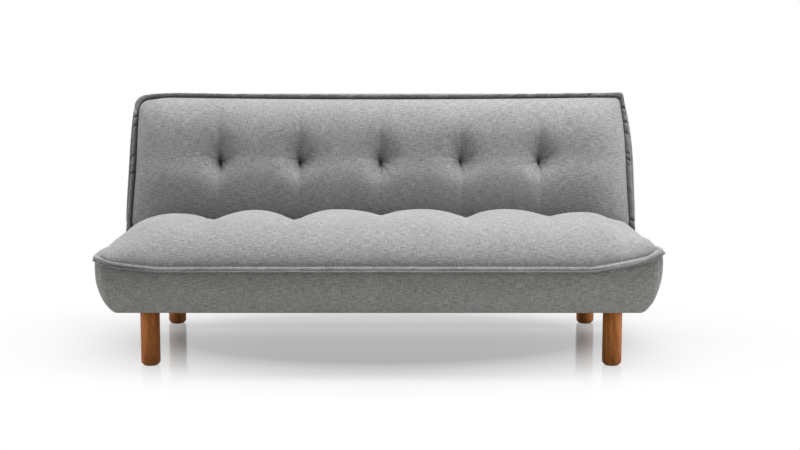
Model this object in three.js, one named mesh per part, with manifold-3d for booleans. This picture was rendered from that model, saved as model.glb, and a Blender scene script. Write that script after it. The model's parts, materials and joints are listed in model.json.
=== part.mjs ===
// A click clack sofa bed: an armless tufted seat on round wooden legs, with a tufted
// backrest that clicks forward and drops level with the seat on two ratchet hinges.
// Millimetres. X runs to the right of someone facing the sofa, Y to its rear, Z up.
// The origin is the middle of the footprint, on the floor.
import * as THREE from "three";
import { mergeVertices } from "three/addons/utils/BufferGeometryUtils.js";
import Module from "manifold-3d";

const wasm = await Module();
wasm.setup();

// Overall
const sofaWidth = 1800; // side flange edge to side flange edge
const seatDepth = 600; // front flange edge to rear flange edge
const seatFlangeHeight = 347; // floor to the top of the seat's flange
const backLength = 525; // flange edge to flange edge, up the backrest
const backLean = 19.5; // degrees behind upright at rest
const clickForward = 8; // degrees the backrest tips forward to release
const foldDown = 70.5; // degrees from rest to flat
const clearance = 0.3; // left between pieces that touch
const overrun = 20; // how far a cutter passes the face it cuts
const mergeDistance = 1e-4; // corners closer than this are one

// Soft covers
const flangeWidth = 20; // doubled fabric fin round each cushion
const flangeThickness = 9;
const coverThickness = 10; // padded fabric of the side borders
const lipThickness = 2.5; // border fabric turned in and stapled
const lipWidth = 35;
const cornerRadius = 42; // cushion and border corners in plan
const cornerReturn = 12; // how far a front or rear border reaches past its turned-in lip
const leastCornerRadius = 11; // inside corners of the border
const cornerSteps = 4;

// Seat cushion
const seatCrown = 110; // crown above the flange
const seatFrontReach = 300; // distance over which the crown rises from an edge
const seatRearReach = 170;
const seatSideReach = 200;
const seatTuftSetback = 395; // front flange edge to the row of tufts
const seatTuftDepth = 34;
const seatTuftRadius = 38;
const seatGrooveDepth = 20;
const cornerLift = 22; // how far the seat's flange curls up at a front corner
const cornerLiftReach = 220;

// Back cushion
const backCrown = 96;
const backTopReach = 110;
const backBottomReach = 110;
const backSideReach = 110;
const backTuftHeight = 262; // lower flange edge to the row of tufts
const backTuftDepth = 40;
const backTuftRadius = 42;
const backGrooveDepth = 7;

// Tufts of both cushions
const tuftCount = 5;
const tuftPitch = 283;
const grooveWidth = 42;
const sideDrawIn = 6; // how far an edge bows in between its corners

// Seat border, bowed like a hull
const seatBodyHeight = 155; // underside of the flange to the underside of the seat
const seatBorderTaper = 57; // how far the bottom edge lies inside the flange edge

// Backrest shell
const backShellDepth = 85; // flange to the rear face
const backBorderTaper = 52;
const backPanelThickness = 7;

// Legs
const legDiameter = 63;
const legEdgeRadius = 9;
const legEdgeSteps = 3;
const legSideInset = 150; // side flange edge to leg centre
const frontLegInset = 130; // front flange edge to leg centre
const rearLegSetback = 181; // hinge axis to leg centre
const legSides = 20;
const gliderDiameter = 46;
const gliderThickness = 5;
const gliderProud = 1.5;
const studDiameter = 8;
const studLength = 32;
const studPlay = 0.4;
const plateSide = 76;
const plateThickness = 3;
const plateCornerRadius = 8;
const plateHoleDiameter = 7;
const plateHoleInset = 13;

// Steel underframe
const railWidth = 25;
const railHeight = 40;
const railWall = 2;
const railCornerRadius = 4;
const railFrontInset = 74; // front flange edge to the rail's open end
const railRearOverhang = 42; // rail past the rear leg's centre
const tubeHeight = 25;

// Timber
const boardThickness = 28;
const frontBoardThickness = 45;
const backFrameDepth = 66;

// Springs and pads
const springWire = 3.8;
const springPitch = 64; // one full zigzag
const springSwing = 24; // half width of a zigzag
const springBulge = 7; // how far each bend overshoots
const springStepsPerWave = 6;
const springSides = 4;
const seatSpringCount = 4;
const seatSpringGap = 350;
const backSpringCount = 4;
const backSpringGap = 330;
const feltThickness = 3;
const dustThickness = 1.5;

// Ratchet hinges
const pivotSetback = 40; // seat's rear flange edge to the hinge axis
const backEdgeGap = 5; // hinge axis to the backrest's lower flange edge
const pivotPinDiameter = 12;
const pivotPlay = 0.3;
const pinHeadDiameter = 22;
const pinHeadThickness = 4.5;
const cheekThickness = 4;
const cheekPivotRadius = 19;
const cheekPawlRadius = 13;
const cheekFootLength = 62;
const bridgeThickness = 4;
const sectorRadius = 36; // to the tips of the teeth
const toothDepth = 5;
const toothPitch = 13; // degrees
const toothCount = Math.ceil((clickForward + foldDown) / toothPitch); // enough for the whole swing
const toothLandShare = 0.18; // flat tip as a share of a tooth
const rimStep = 15; // degrees between points of the sector's plain rim
const ratchetThickness = 6; // sector, arm and pawl
const hubRadius = 15;
const armLength = 205; // hinge axis to the arm's upper end
const armWidth = 32;
const armRoot = 20; // radius of the arm's round root
const armKneeSetback = 26; // where the arm turns up behind the cushion
const armKneeHeight = 38;
const armSetback = 38; // arm's upper end behind the flange
const armHoleDiameter = 8;
const armHoleGap = 42;
const pawlSetback = 48; // pawl's pivot ahead of the hinge axis
const pawlDrop = 44; // pawl's pivot below the hinge axis
const pawlPinDiameter = 8;
const pawlBossRadius = 9;
const pawlNoseGap = 0.4; // nose to the tips of the teeth
const pawlNoseWidth = 6;
const pawlBarHeight = 9;
const pawlTailLength = 17;
const pawlTailShare = 0.8; // end of the tail against its root
const pocketRadius = 42; // opening in the backrest round the hinge
const pocketHalfWidth = 27;
const slotTopGap = 9; // seat border left above the hinge slot
const roundSides = 16;
const smallSides = 10;
const arcSegments = 3;
const tubeCornerSegments = 2;
const coilRadius = 4.5;
const coilWire = 1.4;
const coilTurns = 8;
const coilStepsPerTurn = 6;
const coilSides = 5;
const postDiameter = 5;

// Levels and lines worked out from the sizes above
const halfWidth = sofaWidth / 2;
const halfClearance = clearance / 2;
const flangeUnderside = seatFlangeHeight - flangeThickness;
const borderTop = flangeUnderside - clearance;
const bodyBottomHeight = flangeUnderside - seatBodyHeight; // the legs take up the rest
const dustBottom = bodyBottomHeight + lipThickness + clearance;
const plateBottom = dustBottom + dustThickness + clearance;
const railBottom = plateBottom + plateThickness + clearance;
const railTop = railBottom + railHeight;
const timberBottom = railTop + clearance;
const feltTop = flangeUnderside - clearance;
const springTop = feltTop - feltThickness - clearance;
const timberTop = springTop - springWire - clearance;
const pivotY = seatDepth + pivotSetback;
const pivotZ = seatFlangeHeight - flangeThickness / 2;
const legX = halfWidth - legSideInset;
const rearLegY = pivotY + rearLegSetback;
const innerGap = railWidth + 2 * clearance; // between the cheeks of a hinge
const backBottom = backEdgeGap; // lower flange edge, up the backrest from the axis
const backTop = backEdgeGap + backLength;
const backRear = -flangeThickness / 2; // the cushion's flat rear face, behind the flange line
const leanRadians = THREE.MathUtils.degToRad(backLean);

// Border profile: shares of the border's height, from its top, and of its taper
const borderHeightShares = [0, 0.1, 0.24, 0.46, 0.7, 0.88, 1];
const borderInsetShares = [0.2, 0.07, 0.05, 0.14, 0.42, 0.74, 1];

// Lines of a cushion's surface: shares of the tuft pitch, and of an edge's reach
const pitchLineShares = [-0.5, -0.28, -0.1, 0, 0.1, 0.28];
const edgeLineShares = [0, 0.03, 0.12, 0.34, 0.68];
const tuftLineShares = [-1.6, -0.7, 0, 0.7, 1.6];

// Extra points beside a border's corner, as shares of the curl's reach along an edge
const curledEdgeShares = [0.15, 0.3, 0.5, 0.7, 0.85, 1];
const plainEdgeShares = [1];
const mostReachShare = 0.45;
const borderLiftShare = 0.93; // the border follows most of the flange's curl

// Materials

function fabricMaterial() {
  return new THREE.MeshStandardMaterial({ color: 0x9a9b9c, roughness: 0.95, metalness: 0 });
}

function legMaterial() {
  return new THREE.MeshStandardMaterial({ color: 0x8a5129, roughness: 0.5, metalness: 0 });
}

function timberMaterial() {
  return new THREE.MeshStandardMaterial({ color: 0xcaa878, roughness: 0.8, metalness: 0 });
}

function paintedSteelMaterial() {
  return new THREE.MeshStandardMaterial({ color: 0x26282a, roughness: 0.55, metalness: 0.6 });
}

function zincMaterial() {
  return new THREE.MeshStandardMaterial({ color: 0xa9abad, roughness: 0.35, metalness: 1 });
}

function springMaterial() {
  return new THREE.MeshStandardMaterial({ color: 0x6e7072, roughness: 0.4, metalness: 1 });
}

function feltMaterial() {
  return new THREE.MeshStandardMaterial({ color: 0x6b6a66, roughness: 1, metalness: 0 });
}

function dustMaterial() {
  return new THREE.MeshStandardMaterial({ color: 0x1b1b1c, roughness: 1, metalness: 0 });
}

function gliderMaterial() {
  return new THREE.MeshStandardMaterial({ color: 0x2c2622, roughness: 0.7, metalness: 0 });
}

// Solids

function positionsOnly(geometry) {
  const bare = geometry.index ? geometry.toNonIndexed() : geometry.clone();
  bare.deleteAttribute("normal");
  bare.deleteAttribute("uv");
  return mergeVertices(bare, mergeDistance);
}

function solidOf(geometry) {
  const merged = positionsOnly(geometry);
  return new wasm.Manifold(
    new wasm.Mesh({
      numProp: 3,
      vertProperties: merged.attributes.position.array,
      triVerts: new Uint32Array(merged.index.array),
    }),
  );
}

function geometryOf(solid) {
  const mesh = solid.getMesh();
  const geometry = new THREE.BufferGeometry();
  geometry.setAttribute("position", new THREE.BufferAttribute(mesh.vertProperties, 3));
  geometry.setIndex(new THREE.BufferAttribute(mesh.triVerts, 1));
  geometry.computeVertexNormals();
  return geometry;
}

function joined(first, ...others) {
  return geometryOf(others.reduce((sum, one) => sum.add(solidOf(one)), solidOf(first)));
}

function cut(body, ...cutters) {
  return geometryOf(cutters.reduce((rest, one) => rest.subtract(solidOf(one)), solidOf(body)));
}

function common(body, other) {
  return geometryOf(solidOf(body).intersect(solidOf(other)));
}

// A block between two corners.
function block(x0, x1, y0, y1, z0, z1) {
  const geometry = new THREE.BoxGeometry(x1 - x0, y1 - y0, z1 - z0);
  return geometry.translate((x0 + x1) / 2, (y0 + y1) / 2, (z0 + z1) / 2);
}

// An outline drawn in Y and Z, given a thickness along X and centred on x.
function sideProfile(shape, thickness, x) {
  const geometry = new THREE.ExtrudeGeometry(shape, {
    depth: thickness,
    bevelEnabled: false,
    curveSegments: arcSegments,
  });
  const turn = new THREE.Matrix4().makeBasis(
    new THREE.Vector3(0, 1, 0),
    new THREE.Vector3(0, 0, 1),
    new THREE.Vector3(1, 0, 0),
  );
  return geometry.applyMatrix4(turn).translate(x - thickness / 2, 0, 0);
}

// A round bar along X, centred on a point.
function crossBar(diameter, length, x, y, z, sides = roundSides) {
  const geometry = new THREE.CylinderGeometry(diameter / 2, diameter / 2, length, sides);
  return geometry.rotateZ(-Math.PI / 2).translate(x, y, z);
}

function roundedRectangle(x0, x1, y0, y1, radius, Kind = THREE.Shape) {
  const shape = new Kind();
  shape.moveTo(x0 + radius, y0);
  shape.lineTo(x1 - radius, y0);
  shape.absarc(x1 - radius, y0 + radius, radius, -Math.PI / 2, 0);
  shape.absarc(x1 - radius, y1 - radius, radius, 0, Math.PI / 2);
  shape.absarc(x0 + radius, y1 - radius, radius, Math.PI / 2, Math.PI);
  shape.absarc(x0 + radius, y0 + radius, radius, Math.PI, 1.5 * Math.PI);
  return shape;
}

function circlePath(x, y, radius) {
  return new THREE.Path().absarc(x, y, radius, 0, 2 * Math.PI);
}

// The outline of two discs and the straight sides that touch both.
function taperedLink(from, fromRadius, to, toRadius) {
  const along = Math.atan2(to.y - from.y, to.x - from.x);
  const spread = Math.acos((fromRadius - toRadius) / from.distanceTo(to));
  const shape = new THREE.Shape();
  shape.absarc(to.x, to.y, toRadius, along - spread, along + spread);
  shape.absarc(from.x, from.y, fromRadius, along + spread, along - spread + 2 * Math.PI);
  return shape;
}

function smooth(share) {
  const t = Math.min(Math.max(share, 0), 1);
  return t * t * (3 - 2 * t);
}

function lerpTable(at, keys, values) {
  const last = keys.length - 1;
  const found = keys.findIndex((key) => at <= key);
  const i = found < 0 ? last : Math.max(found, 1);
  const share = Math.min(Math.max((at - keys[i - 1]) / (keys[i] - keys[i - 1]), 0), 1);
  return values[i - 1] + share * (values[i] - values[i - 1]);
}

// How far a border's outer face lies inside the flange edge, a share of the way down it.
function borderInset(share, taper) {
  return taper * lerpTable(share, borderHeightShares, borderInsetShares);
}

// The curl of the seat's flange near its two front corners.
function seatLift(x, y) {
  const side = smooth((Math.abs(x) - halfWidth) / cornerLiftReach + 1);
  const front = smooth(1 - y / cornerLiftReach);
  return cornerLift * side * front;
}

function noLift() {
  return 0;
}

// Soft pieces

// The rise of a crown at a distance from its edge, from 0 to 1.
function crownRise(distance, reach) {
  const share = Math.min(Math.max(distance / reach, 0), 1);
  return Math.sqrt(share * (2 - share));
}

function cushionHeight(a, b, pad) {
  const rootA = pad.halfWidth - flangeWidth - Math.abs(a);
  const rise =
    crownRise(rootA, pad.sideReach) *
    crownRise(b - pad.low - flangeWidth, pad.lowReach) *
    crownRise(pad.high - flangeWidth - b, pad.highReach);
  let dip = 0;
  for (let k = 0; k < tuftCount; k += 1) {
    const across = a - (k - (tuftCount - 1) / 2) * tuftPitch;
    const along = b - pad.tuftAt;
    dip += pad.tuftDepth * Math.exp(-Math.hypot(across, along) / pad.tuftRadius);
    dip += pad.grooveDepth * Math.exp(-Math.abs(across) / grooveWidth);
  }
  return Math.max(rise * (pad.crown - dip), 0);
}

// Line places across a cushion: the flange, the edge's reach, and a few for each tuft.
function crossLines(pad) {
  const root = pad.halfWidth - flangeWidth;
  const inner = (tuftCount / 2) * tuftPitch;
  const edge = edgeLineShares.map((share) => root - share * (root - inner));
  const middle = [];
  for (let k = 0; k < tuftCount; k += 1) {
    const centre = (k - (tuftCount - 1) / 2) * tuftPitch;
    middle.push(...pitchLineShares.map((share) => centre + share * tuftPitch));
  }
  const right = [inner, ...edge.slice().reverse(), pad.halfWidth];
  const left = [-pad.halfWidth, ...edge.map((place) => -place)];
  return [...left, ...middle, ...right];
}

// Line places along a cushion, from its lower or front edge.
function depthLines(pad) {
  const low = edgeLineShares.map((share) => pad.low + flangeWidth + share * pad.lowReach);
  const high = edgeLineShares.map((share) => pad.high - flangeWidth - share * pad.highReach);
  const tuft = tuftLineShares.map((share) => pad.tuftAt + share * pad.tuftRadius);
  const middle = [...low, ...tuft, ...high].sort((p, q) => p - q);
  return [pad.low, ...middle, pad.high];
}

// Moves a point of the plan so that the corners are round and the edges bow in.
function planPoint(a, b, pad) {
  const side = pad.halfWidth - Math.abs(a);
  const nearLow = b - pad.low < pad.high - b;
  const end = nearLow ? b - pad.low : pad.high - b;
  let moved = { side, end };
  if (side < cornerRadius && end < cornerRadius) {
    const p = 1 - side / cornerRadius;
    const q = 1 - end / cornerRadius;
    moved = {
      side: cornerRadius * (1 - p * Math.sqrt(1 - (q * q) / 2)),
      end: cornerRadius * (1 - q * Math.sqrt(1 - (p * p) / 2)),
    };
  }
  const across = a / pad.halfWidth;
  const along = (2 * (b - pad.low)) / (pad.high - pad.low) - 1;
  moved.side += sideDrawIn * (1 - along * along) * Math.abs(across) ** 3;
  moved.end += sideDrawIn * (1 - across * across) * Math.abs(along) ** 3;
  return {
    a: Math.sign(a) * (pad.halfWidth - moved.side),
    b: nearLow ? pad.low + moved.end : pad.high - moved.end,
  };
}

// A cushion with its flange: a crowned, tufted top over a flat underside. Its place
// function puts a point across, along and above the pad where it belongs.
function cushionGeometry(pad) {
  const lines = crossLines(pad);
  const rows = depthLines(pad);
  const points = [];
  const faces = [];
  const push = (a, b, c) => points.push(...pad.place(a, b, c).toArray());
  const width = lines.length;
  for (const level of ["top", "bottom"]) {
    for (const b of rows) {
      for (const a of lines) {
        const plan = planPoint(a, b, pad);
        const lift = pad.lift(plan.a, plan.b);
        const height = level === "top" ? flangeThickness + cushionHeight(a, b, pad) : 0;
        push(plan.a, plan.b, height + lift);
      }
    }
  }
  const at = (i, j) => j * width + i;
  const below = width * rows.length;
  for (let j = 0; j < rows.length - 1; j += 1) {
    for (let i = 0; i < width - 1; i += 1) {
      const corners = [at(i, j), at(i + 1, j), at(i + 1, j + 1), at(i, j + 1)];
      faces.push(corners[0], corners[1], corners[2], corners[0], corners[2], corners[3]);
    }
  }
  const loop = (edge) => {
    const ring = [];
    const right = width - 1 - edge;
    const rear = rows.length - 1 - edge;
    for (let i = edge; i < right; i += 1) ring.push(at(i, edge));
    for (let j = edge; j < rear; j += 1) ring.push(at(right, j));
    for (let i = right; i > edge; i -= 1) ring.push(at(i, rear));
    for (let j = rear; j > edge; j -= 1) ring.push(at(edge, j));
    return ring;
  };
  const rim = loop(0);
  rim.forEach((top, n) => {
    const next = rim[(n + 1) % rim.length];
    faces.push(top, top + below, next + below, top, next + below, next);
  });
  for (let i = 0; i < width - 1; i += 1) {
    for (let j = 0; j < rows.length - 1; j += 1) {
      const edge = i === 0 || j === 0 || i === width - 2 || j === rows.length - 2;
      if (!edge) continue;
      const corners = [at(i, j), at(i, j + 1), at(i + 1, j + 1), at(i + 1, j)];
      const [p, q, r, s] = corners.map((corner) => corner + below);
      faces.push(p, q, r, p, r, s);
    }
  }
  const centre = points.length / 3;
  push(0, (pad.low + pad.high) / 2, 0);
  const inner = loop(1);
  inner.forEach((here, n) => {
    faces.push(inner[(n + 1) % inner.length] + below, here + below, centre);
  });
  const geometry = new THREE.BufferGeometry();
  geometry.setAttribute("position", new THREE.Float32BufferAttribute(points, 3));
  geometry.setIndex(faces);
  return geometryOf(solidOf(geometry));
}

// The rounded plan of a border at an inset, with extra points beside each corner.
function borderPlan(border, inset) {
  const right = border.halfWidth - inset;
  const low = border.low + inset;
  const high = border.high - inset;
  const radius = Math.max(cornerRadius - inset, leastCornerRadius);
  const corners = [
    [right - radius, low + radius, -Math.PI / 2],
    [right - radius, high - radius, 0],
    [-right + radius, high - radius, Math.PI / 2],
    [-right + radius, low + radius, Math.PI],
  ];
  const plan = [];
  corners.forEach(([x, y, start], n) => {
    for (let k = 0; k <= cornerSteps; k += 1) {
      const turn = start + (k / cornerSteps) * (Math.PI / 2);
      plan.push([x + radius * Math.cos(turn), y + radius * Math.sin(turn)]);
    }
    const next = corners[(n + 1) % corners.length];
    const end = start + Math.PI / 2;
    const from = [x + radius * Math.cos(end), y + radius * Math.sin(end)];
    const to = [next[0] + radius * Math.cos(end), next[1] + radius * Math.sin(end)];
    const length = Math.hypot(to[0] - from[0], to[1] - from[1]);
    const reach = Math.min(cornerLiftReach / length, mostReachShare);
    const shares = border.edgeShares.map((share) => share * reach);
    for (const share of [...shares, ...shares.map((one) => 1 - one).reverse()]) {
      plan.push([from[0] + share * (to[0] - from[0]), from[1] + share * (to[1] - from[1])]);
    }
  });
  return plan;
}

// A bowed border all round: outer face down, a lip turned in, and the inner face up.
function borderGeometry(border) {
  const rings = [];
  const lipShare = lipThickness / border.height;
  borderHeightShares.forEach((share) => {
    rings.push([share, borderInset(share, border.taper)]);
  });
  rings.push([1, border.taper + lipWidth]);
  rings.push([1 - lipShare, border.taper + lipWidth]);
  rings.push([1 - lipShare, borderInset(1 - lipShare, border.taper) + coverThickness]);
  borderHeightShares
    .slice(0, -1)
    .reverse()
    .forEach((share) => {
      rings.push([share, borderInset(share, border.taper) + coverThickness]);
    });
  const points = [];
  const faces = [];
  let count = 0;
  rings.forEach(([share, inset]) => {
    const plan = borderPlan(border, inset);
    count = plan.length;
    plan.forEach(([a, b]) => {
      const lift = borderLiftShare * border.lift(a, b) * (1 - share) ** 2;
      points.push(...border.place(a, b, -share * border.height + lift).toArray());
    });
  });
  rings.forEach((_, r) => {
    const here = r * count;
    const next = ((r + 1) % rings.length) * count;
    for (let i = 0; i < count; i += 1) {
      const j = (i + 1) % count;
      faces.push(here + i, next + i, next + j, here + i, next + j, here + j);
    }
  });
  const geometry = new THREE.BufferGeometry();
  geometry.setAttribute("position", new THREE.Float32BufferAttribute(points, 3));
  geometry.setIndex(faces);
  return geometryOf(solidOf(geometry));
}

// The border's four panels, parted beside the corners, as they are sewn.
function borderPanels(border, whole) {
  const far = border.halfWidth + overrun;
  const deep = border.height + overrun;
  const piece = (a0, a1, b0, b1) => {
    const low = border.place(a0, b0, -deep);
    const high = border.place(a1, b1, overrun + border.reach);
    return common(
      whole,
      block(
        Math.min(low.x, high.x),
        Math.max(low.x, high.x),
        Math.min(low.y, high.y),
        Math.max(low.y, high.y),
        Math.min(low.z, high.z),
        Math.max(low.z, high.z),
      ),
    );
  };
  const wrap = border.taper + lipWidth + cornerReturn;
  const lowSeam = border.low + wrap;
  const highSeam = border.high - wrap;
  return {
    low: piece(-far, far, border.low - overrun, lowSeam - halfClearance),
    high: piece(-far, far, highSeam + halfClearance, border.high + overrun),
    left: piece(-far, 0, lowSeam + halfClearance, highSeam - halfClearance),
    right: piece(0, far, lowSeam + halfClearance, highSeam - halfClearance),
  };
}

// A flat sheet that lies inside a border's walls.
function insetSheet(border, inset, bottom, top) {
  const plan = borderPlan(border, inset);
  const shape = new THREE.Shape(plan.map(([a, b]) => new THREE.Vector2(a, b)));
  const geometry = new THREE.ExtrudeGeometry(shape, { depth: top - bottom, bevelEnabled: false });
  return geometry.translate(0, 0, bottom);
}

// A zigzag spring lying in a plane, from start to end along its length.
class ZigzagCurve extends THREE.Curve {
  constructor(start, end, place) {
    super();
    this.start = start;
    this.end = end;
    this.place = place;
    this.waves = Math.round((end - start) / springPitch);
  }

  getPoint(t, target = new THREE.Vector3()) {
    const turn = 2 * Math.PI * this.waves * t;
    const ends = Math.sin(Math.PI * t) ** 0.5;
    const across = springSwing * Math.sin(turn);
    const along = this.start + (this.end - this.start) * t;
    return target.copy(this.place(across, along - springBulge * Math.sin(2 * turn) * ends));
  }
}

function springGeometry(curve) {
  const radius = springWire / 2 / Math.cos(Math.PI / springSides);
  const section = new THREE.Shape();
  for (let k = 0; k < springSides; k += 1) {
    const turn = ((k + 0.5) / springSides) * 2 * Math.PI;
    const point = [radius * Math.cos(turn), radius * Math.sin(turn)];
    if (k === 0) section.moveTo(...point);
    else section.lineTo(...point);
  }
  return new THREE.ExtrudeGeometry(section, {
    steps: curve.waves * springStepsPerWave,
    extrudePath: curve,
    bevelEnabled: false,
  });
}

// Legs

function legGeometry() {
  const radius = legDiameter / 2;
  const top = plateBottom - clearance;
  const recess = gliderDiameter / 2 + clearance;
  const floor = gliderThickness + clearance;
  const bore = studDiameter / 2 + studPlay;
  const profile = [new THREE.Vector2(0, floor), new THREE.Vector2(recess, floor)];
  profile.push(new THREE.Vector2(recess, gliderProud));
  for (let k = 0; k <= legEdgeSteps; k += 1) {
    const turn = (k / legEdgeSteps) * (Math.PI / 2);
    const r = radius - legEdgeRadius + legEdgeRadius * Math.sin(turn);
    profile.push(new THREE.Vector2(r, gliderProud + legEdgeRadius * (1 - Math.cos(turn))));
  }
  profile.push(new THREE.Vector2(radius, top));
  profile.push(new THREE.Vector2(bore, top));
  profile.push(new THREE.Vector2(bore, top - studLength));
  profile.push(new THREE.Vector2(0, top - studLength));
  return new THREE.LatheGeometry(profile, legSides).rotateX(Math.PI / 2);
}

function gliderGeometry() {
  const radius = gliderDiameter / 2;
  const geometry = new THREE.CylinderGeometry(radius, radius, gliderThickness, legSides);
  return geometry.rotateX(Math.PI / 2).translate(0, 0, gliderThickness / 2);
}

// A square plate with four screw holes and the stud that the leg screws onto.
function legPlateGeometry() {
  const s = plateSide / 2;
  const shape = roundedRectangle(-s, s, -s, s, plateCornerRadius);
  const hole = s - plateHoleInset;
  for (const x of [-hole, hole]) {
    for (const y of [-hole, hole]) {
      shape.holes.push(circlePath(x, y, plateHoleDiameter / 2));
    }
  }
  const plate = new THREE.ExtrudeGeometry(shape, {
    depth: plateThickness,
    bevelEnabled: false,
    curveSegments: tubeCornerSegments,
  });
  plate.translate(0, 0, plateBottom);
  const length = studLength - clearance;
  const stud = new THREE.CylinderGeometry(studDiameter / 2, studDiameter / 2, length, smallSides);
  stud.rotateX(Math.PI / 2).translate(0, 0, plateBottom + plateThickness / 2 - length / 2);
  return joined(plate, stud);
}

// Steel underframe

function tubeShape(width, height) {
  const shape = roundedRectangle(-width / 2, width / 2, 0, height, railCornerRadius);
  const bore = roundedRectangle(
    -width / 2 + railWall,
    width / 2 - railWall,
    railWall,
    height - railWall,
    railCornerRadius - railWall,
    THREE.Path,
  );
  shape.holes.push(bore);
  return shape;
}

function sideRailGeometry() {
  const rear = rearLegY + railRearOverhang;
  const geometry = new THREE.ExtrudeGeometry(tubeShape(railWidth, railHeight), {
    depth: rear - railFrontInset,
    bevelEnabled: false,
    curveSegments: tubeCornerSegments,
  });
  return geometry.rotateX(Math.PI / 2).translate(0, rear, railBottom);
}

function crossTubeGeometry() {
  const length = 2 * legX - railWidth - 2 * clearance;
  const geometry = new THREE.ExtrudeGeometry(tubeShape(railWidth, tubeHeight), {
    depth: length,
    bevelEnabled: false,
    curveSegments: tubeCornerSegments,
  });
  const turn = new THREE.Matrix4().makeBasis(
    new THREE.Vector3(0, 1, 0),
    new THREE.Vector3(0, 0, 1),
    new THREE.Vector3(1, 0, 0),
  );
  return geometry.applyMatrix4(turn).translate(-length / 2, 0, railBottom);
}

// Ratchet hinge. Each piece is drawn in Y and Z from the hinge axis, X from its middle.

const pawlAt = new THREE.Vector2(-pawlSetback, -pawlDrop);
const postAt = new THREE.Vector2(
  -pawlSetback - pawlTailLength,
  railTop - pivotZ + bridgeThickness + postDiameter,
);

// Two cheeks that stand on the rail, with the bridge, the pawl's rivet and the spring's post.
function hingeBracketGeometry() {
  const footTop = railTop + bridgeThickness - pivotZ;
  const footBottom = railBottom + railCornerRadius - pivotZ;
  const footRear = -pawlSetback + cheekPawlRadius + cheekFootLength / 2;
  const footFront = footRear - cheekFootLength;
  const offset = (innerGap + cheekThickness) / 2;
  const outer = innerGap + 2 * cheekThickness;
  const footMiddle = new THREE.Vector2((footRear + footFront) / 2, footTop - cheekPivotRadius);
  const cheek = (x) => {
    const foot = roundedRectangle(footFront, footRear, footBottom, footTop, railCornerRadius);
    const neck = taperedLink(pawlAt, cheekPawlRadius, new THREE.Vector2(0, 0), cheekPivotRadius);
    const stem = taperedLink(footMiddle, cheekPivotRadius, pawlAt, cheekPawlRadius);
    const post = taperedLink(footMiddle, cheekPivotRadius, postAt, postDiameter);
    return joined(
      sideProfile(foot, cheekThickness, x),
      sideProfile(stem, cheekThickness, x),
      sideProfile(neck, cheekThickness, x),
      sideProfile(post, cheekThickness, x),
    );
  };
  const bridge = block(
    -outer / 2,
    outer / 2,
    footFront + railCornerRadius,
    footRear - railCornerRadius,
    railTop + clearance - pivotZ,
    footTop,
  );
  const body = joined(
    cheek(-offset),
    cheek(offset),
    bridge,
    crossBar(pawlPinDiameter, outer + cheekThickness, 0, pawlAt.x, pawlAt.y),
    crossBar(postDiameter, outer, 0, postAt.x, postAt.y, smallSides),
  );
  return cut(body, crossBar(pivotPinDiameter + 2 * pivotPlay, outer + overrun, 0, 0, 0));
}

// The rivet that the backrest turns on, with a head at each end.
function pivotPinGeometry() {
  const outer = innerGap + 2 * cheekThickness + 2 * clearance;
  const head = (outer + pinHeadThickness) / 2;
  return joined(
    crossBar(pivotPinDiameter, outer + pinHeadThickness, 0, 0, 0),
    crossBar(pinHeadDiameter, pinHeadThickness, -head, 0, 0),
    crossBar(pinHeadDiameter, pinHeadThickness, head, 0, 0),
  );
}

// Saw teeth round the axis: each has a steep locking face, a short tip and a long ramp.
function sectorShape() {
  const root = sectorRadius - toothDepth;
  const pawlTurn = -90 + backLean;
  const first = pawlTurn - clickForward - toothPitch / 2;
  const shape = new THREE.Shape();
  const point = (degrees, radius) => {
    const turn = THREE.MathUtils.degToRad(degrees);
    return new THREE.Vector2(radius * Math.cos(turn), radius * Math.sin(turn));
  };
  const points = [];
  for (let k = 0; k < toothCount; k += 1) {
    const start = first + k * toothPitch;
    points.push(point(start, root));
    points.push(point(start, sectorRadius));
    points.push(point(start + toothLandShare * toothPitch, sectorRadius));
  }
  const last = first + toothCount * toothPitch;
  for (let turn = last; turn < first + 360; turn += rimStep) {
    points.push(point(turn, root));
  }
  shape.setFromPoints(points);
  return shape;
}

// The backrest's arm: the toothed sector, its hub, and a long leg bolted to the frame.
function backArmGeometry() {
  const end = new THREE.Vector2(armSetback, armLength);
  const knee = new THREE.Vector2(armKneeSetback, armKneeHeight);
  const crank = taperedLink(new THREE.Vector2(0, 0), armRoot, knee, armWidth / 2 - clearance);
  const leg = taperedLink(knee, armWidth / 2 - clearance, end, armWidth / 2);
  const holes = [];
  for (let k = 0; k < 3; k += 1) {
    const at = end.clone().lerp(knee, (k * armHoleGap) / end.distanceTo(knee));
    holes.push(crossBar(armHoleDiameter, overrun, 0, at.x, at.y, smallSides));
  }
  const body = joined(
    sideProfile(sectorShape(), ratchetThickness, 0),
    sideProfile(crank, ratchetThickness, 0),
    sideProfile(leg, ratchetThickness, 0),
    crossBar(2 * hubRadius, innerGap - 2 * clearance, 0, 0, 0),
  );
  const bore = crossBar(pivotPinDiameter + 2 * pivotPlay, innerGap + overrun, 0, 0, 0);
  return cut(body, bore, ...holes);
}

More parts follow.
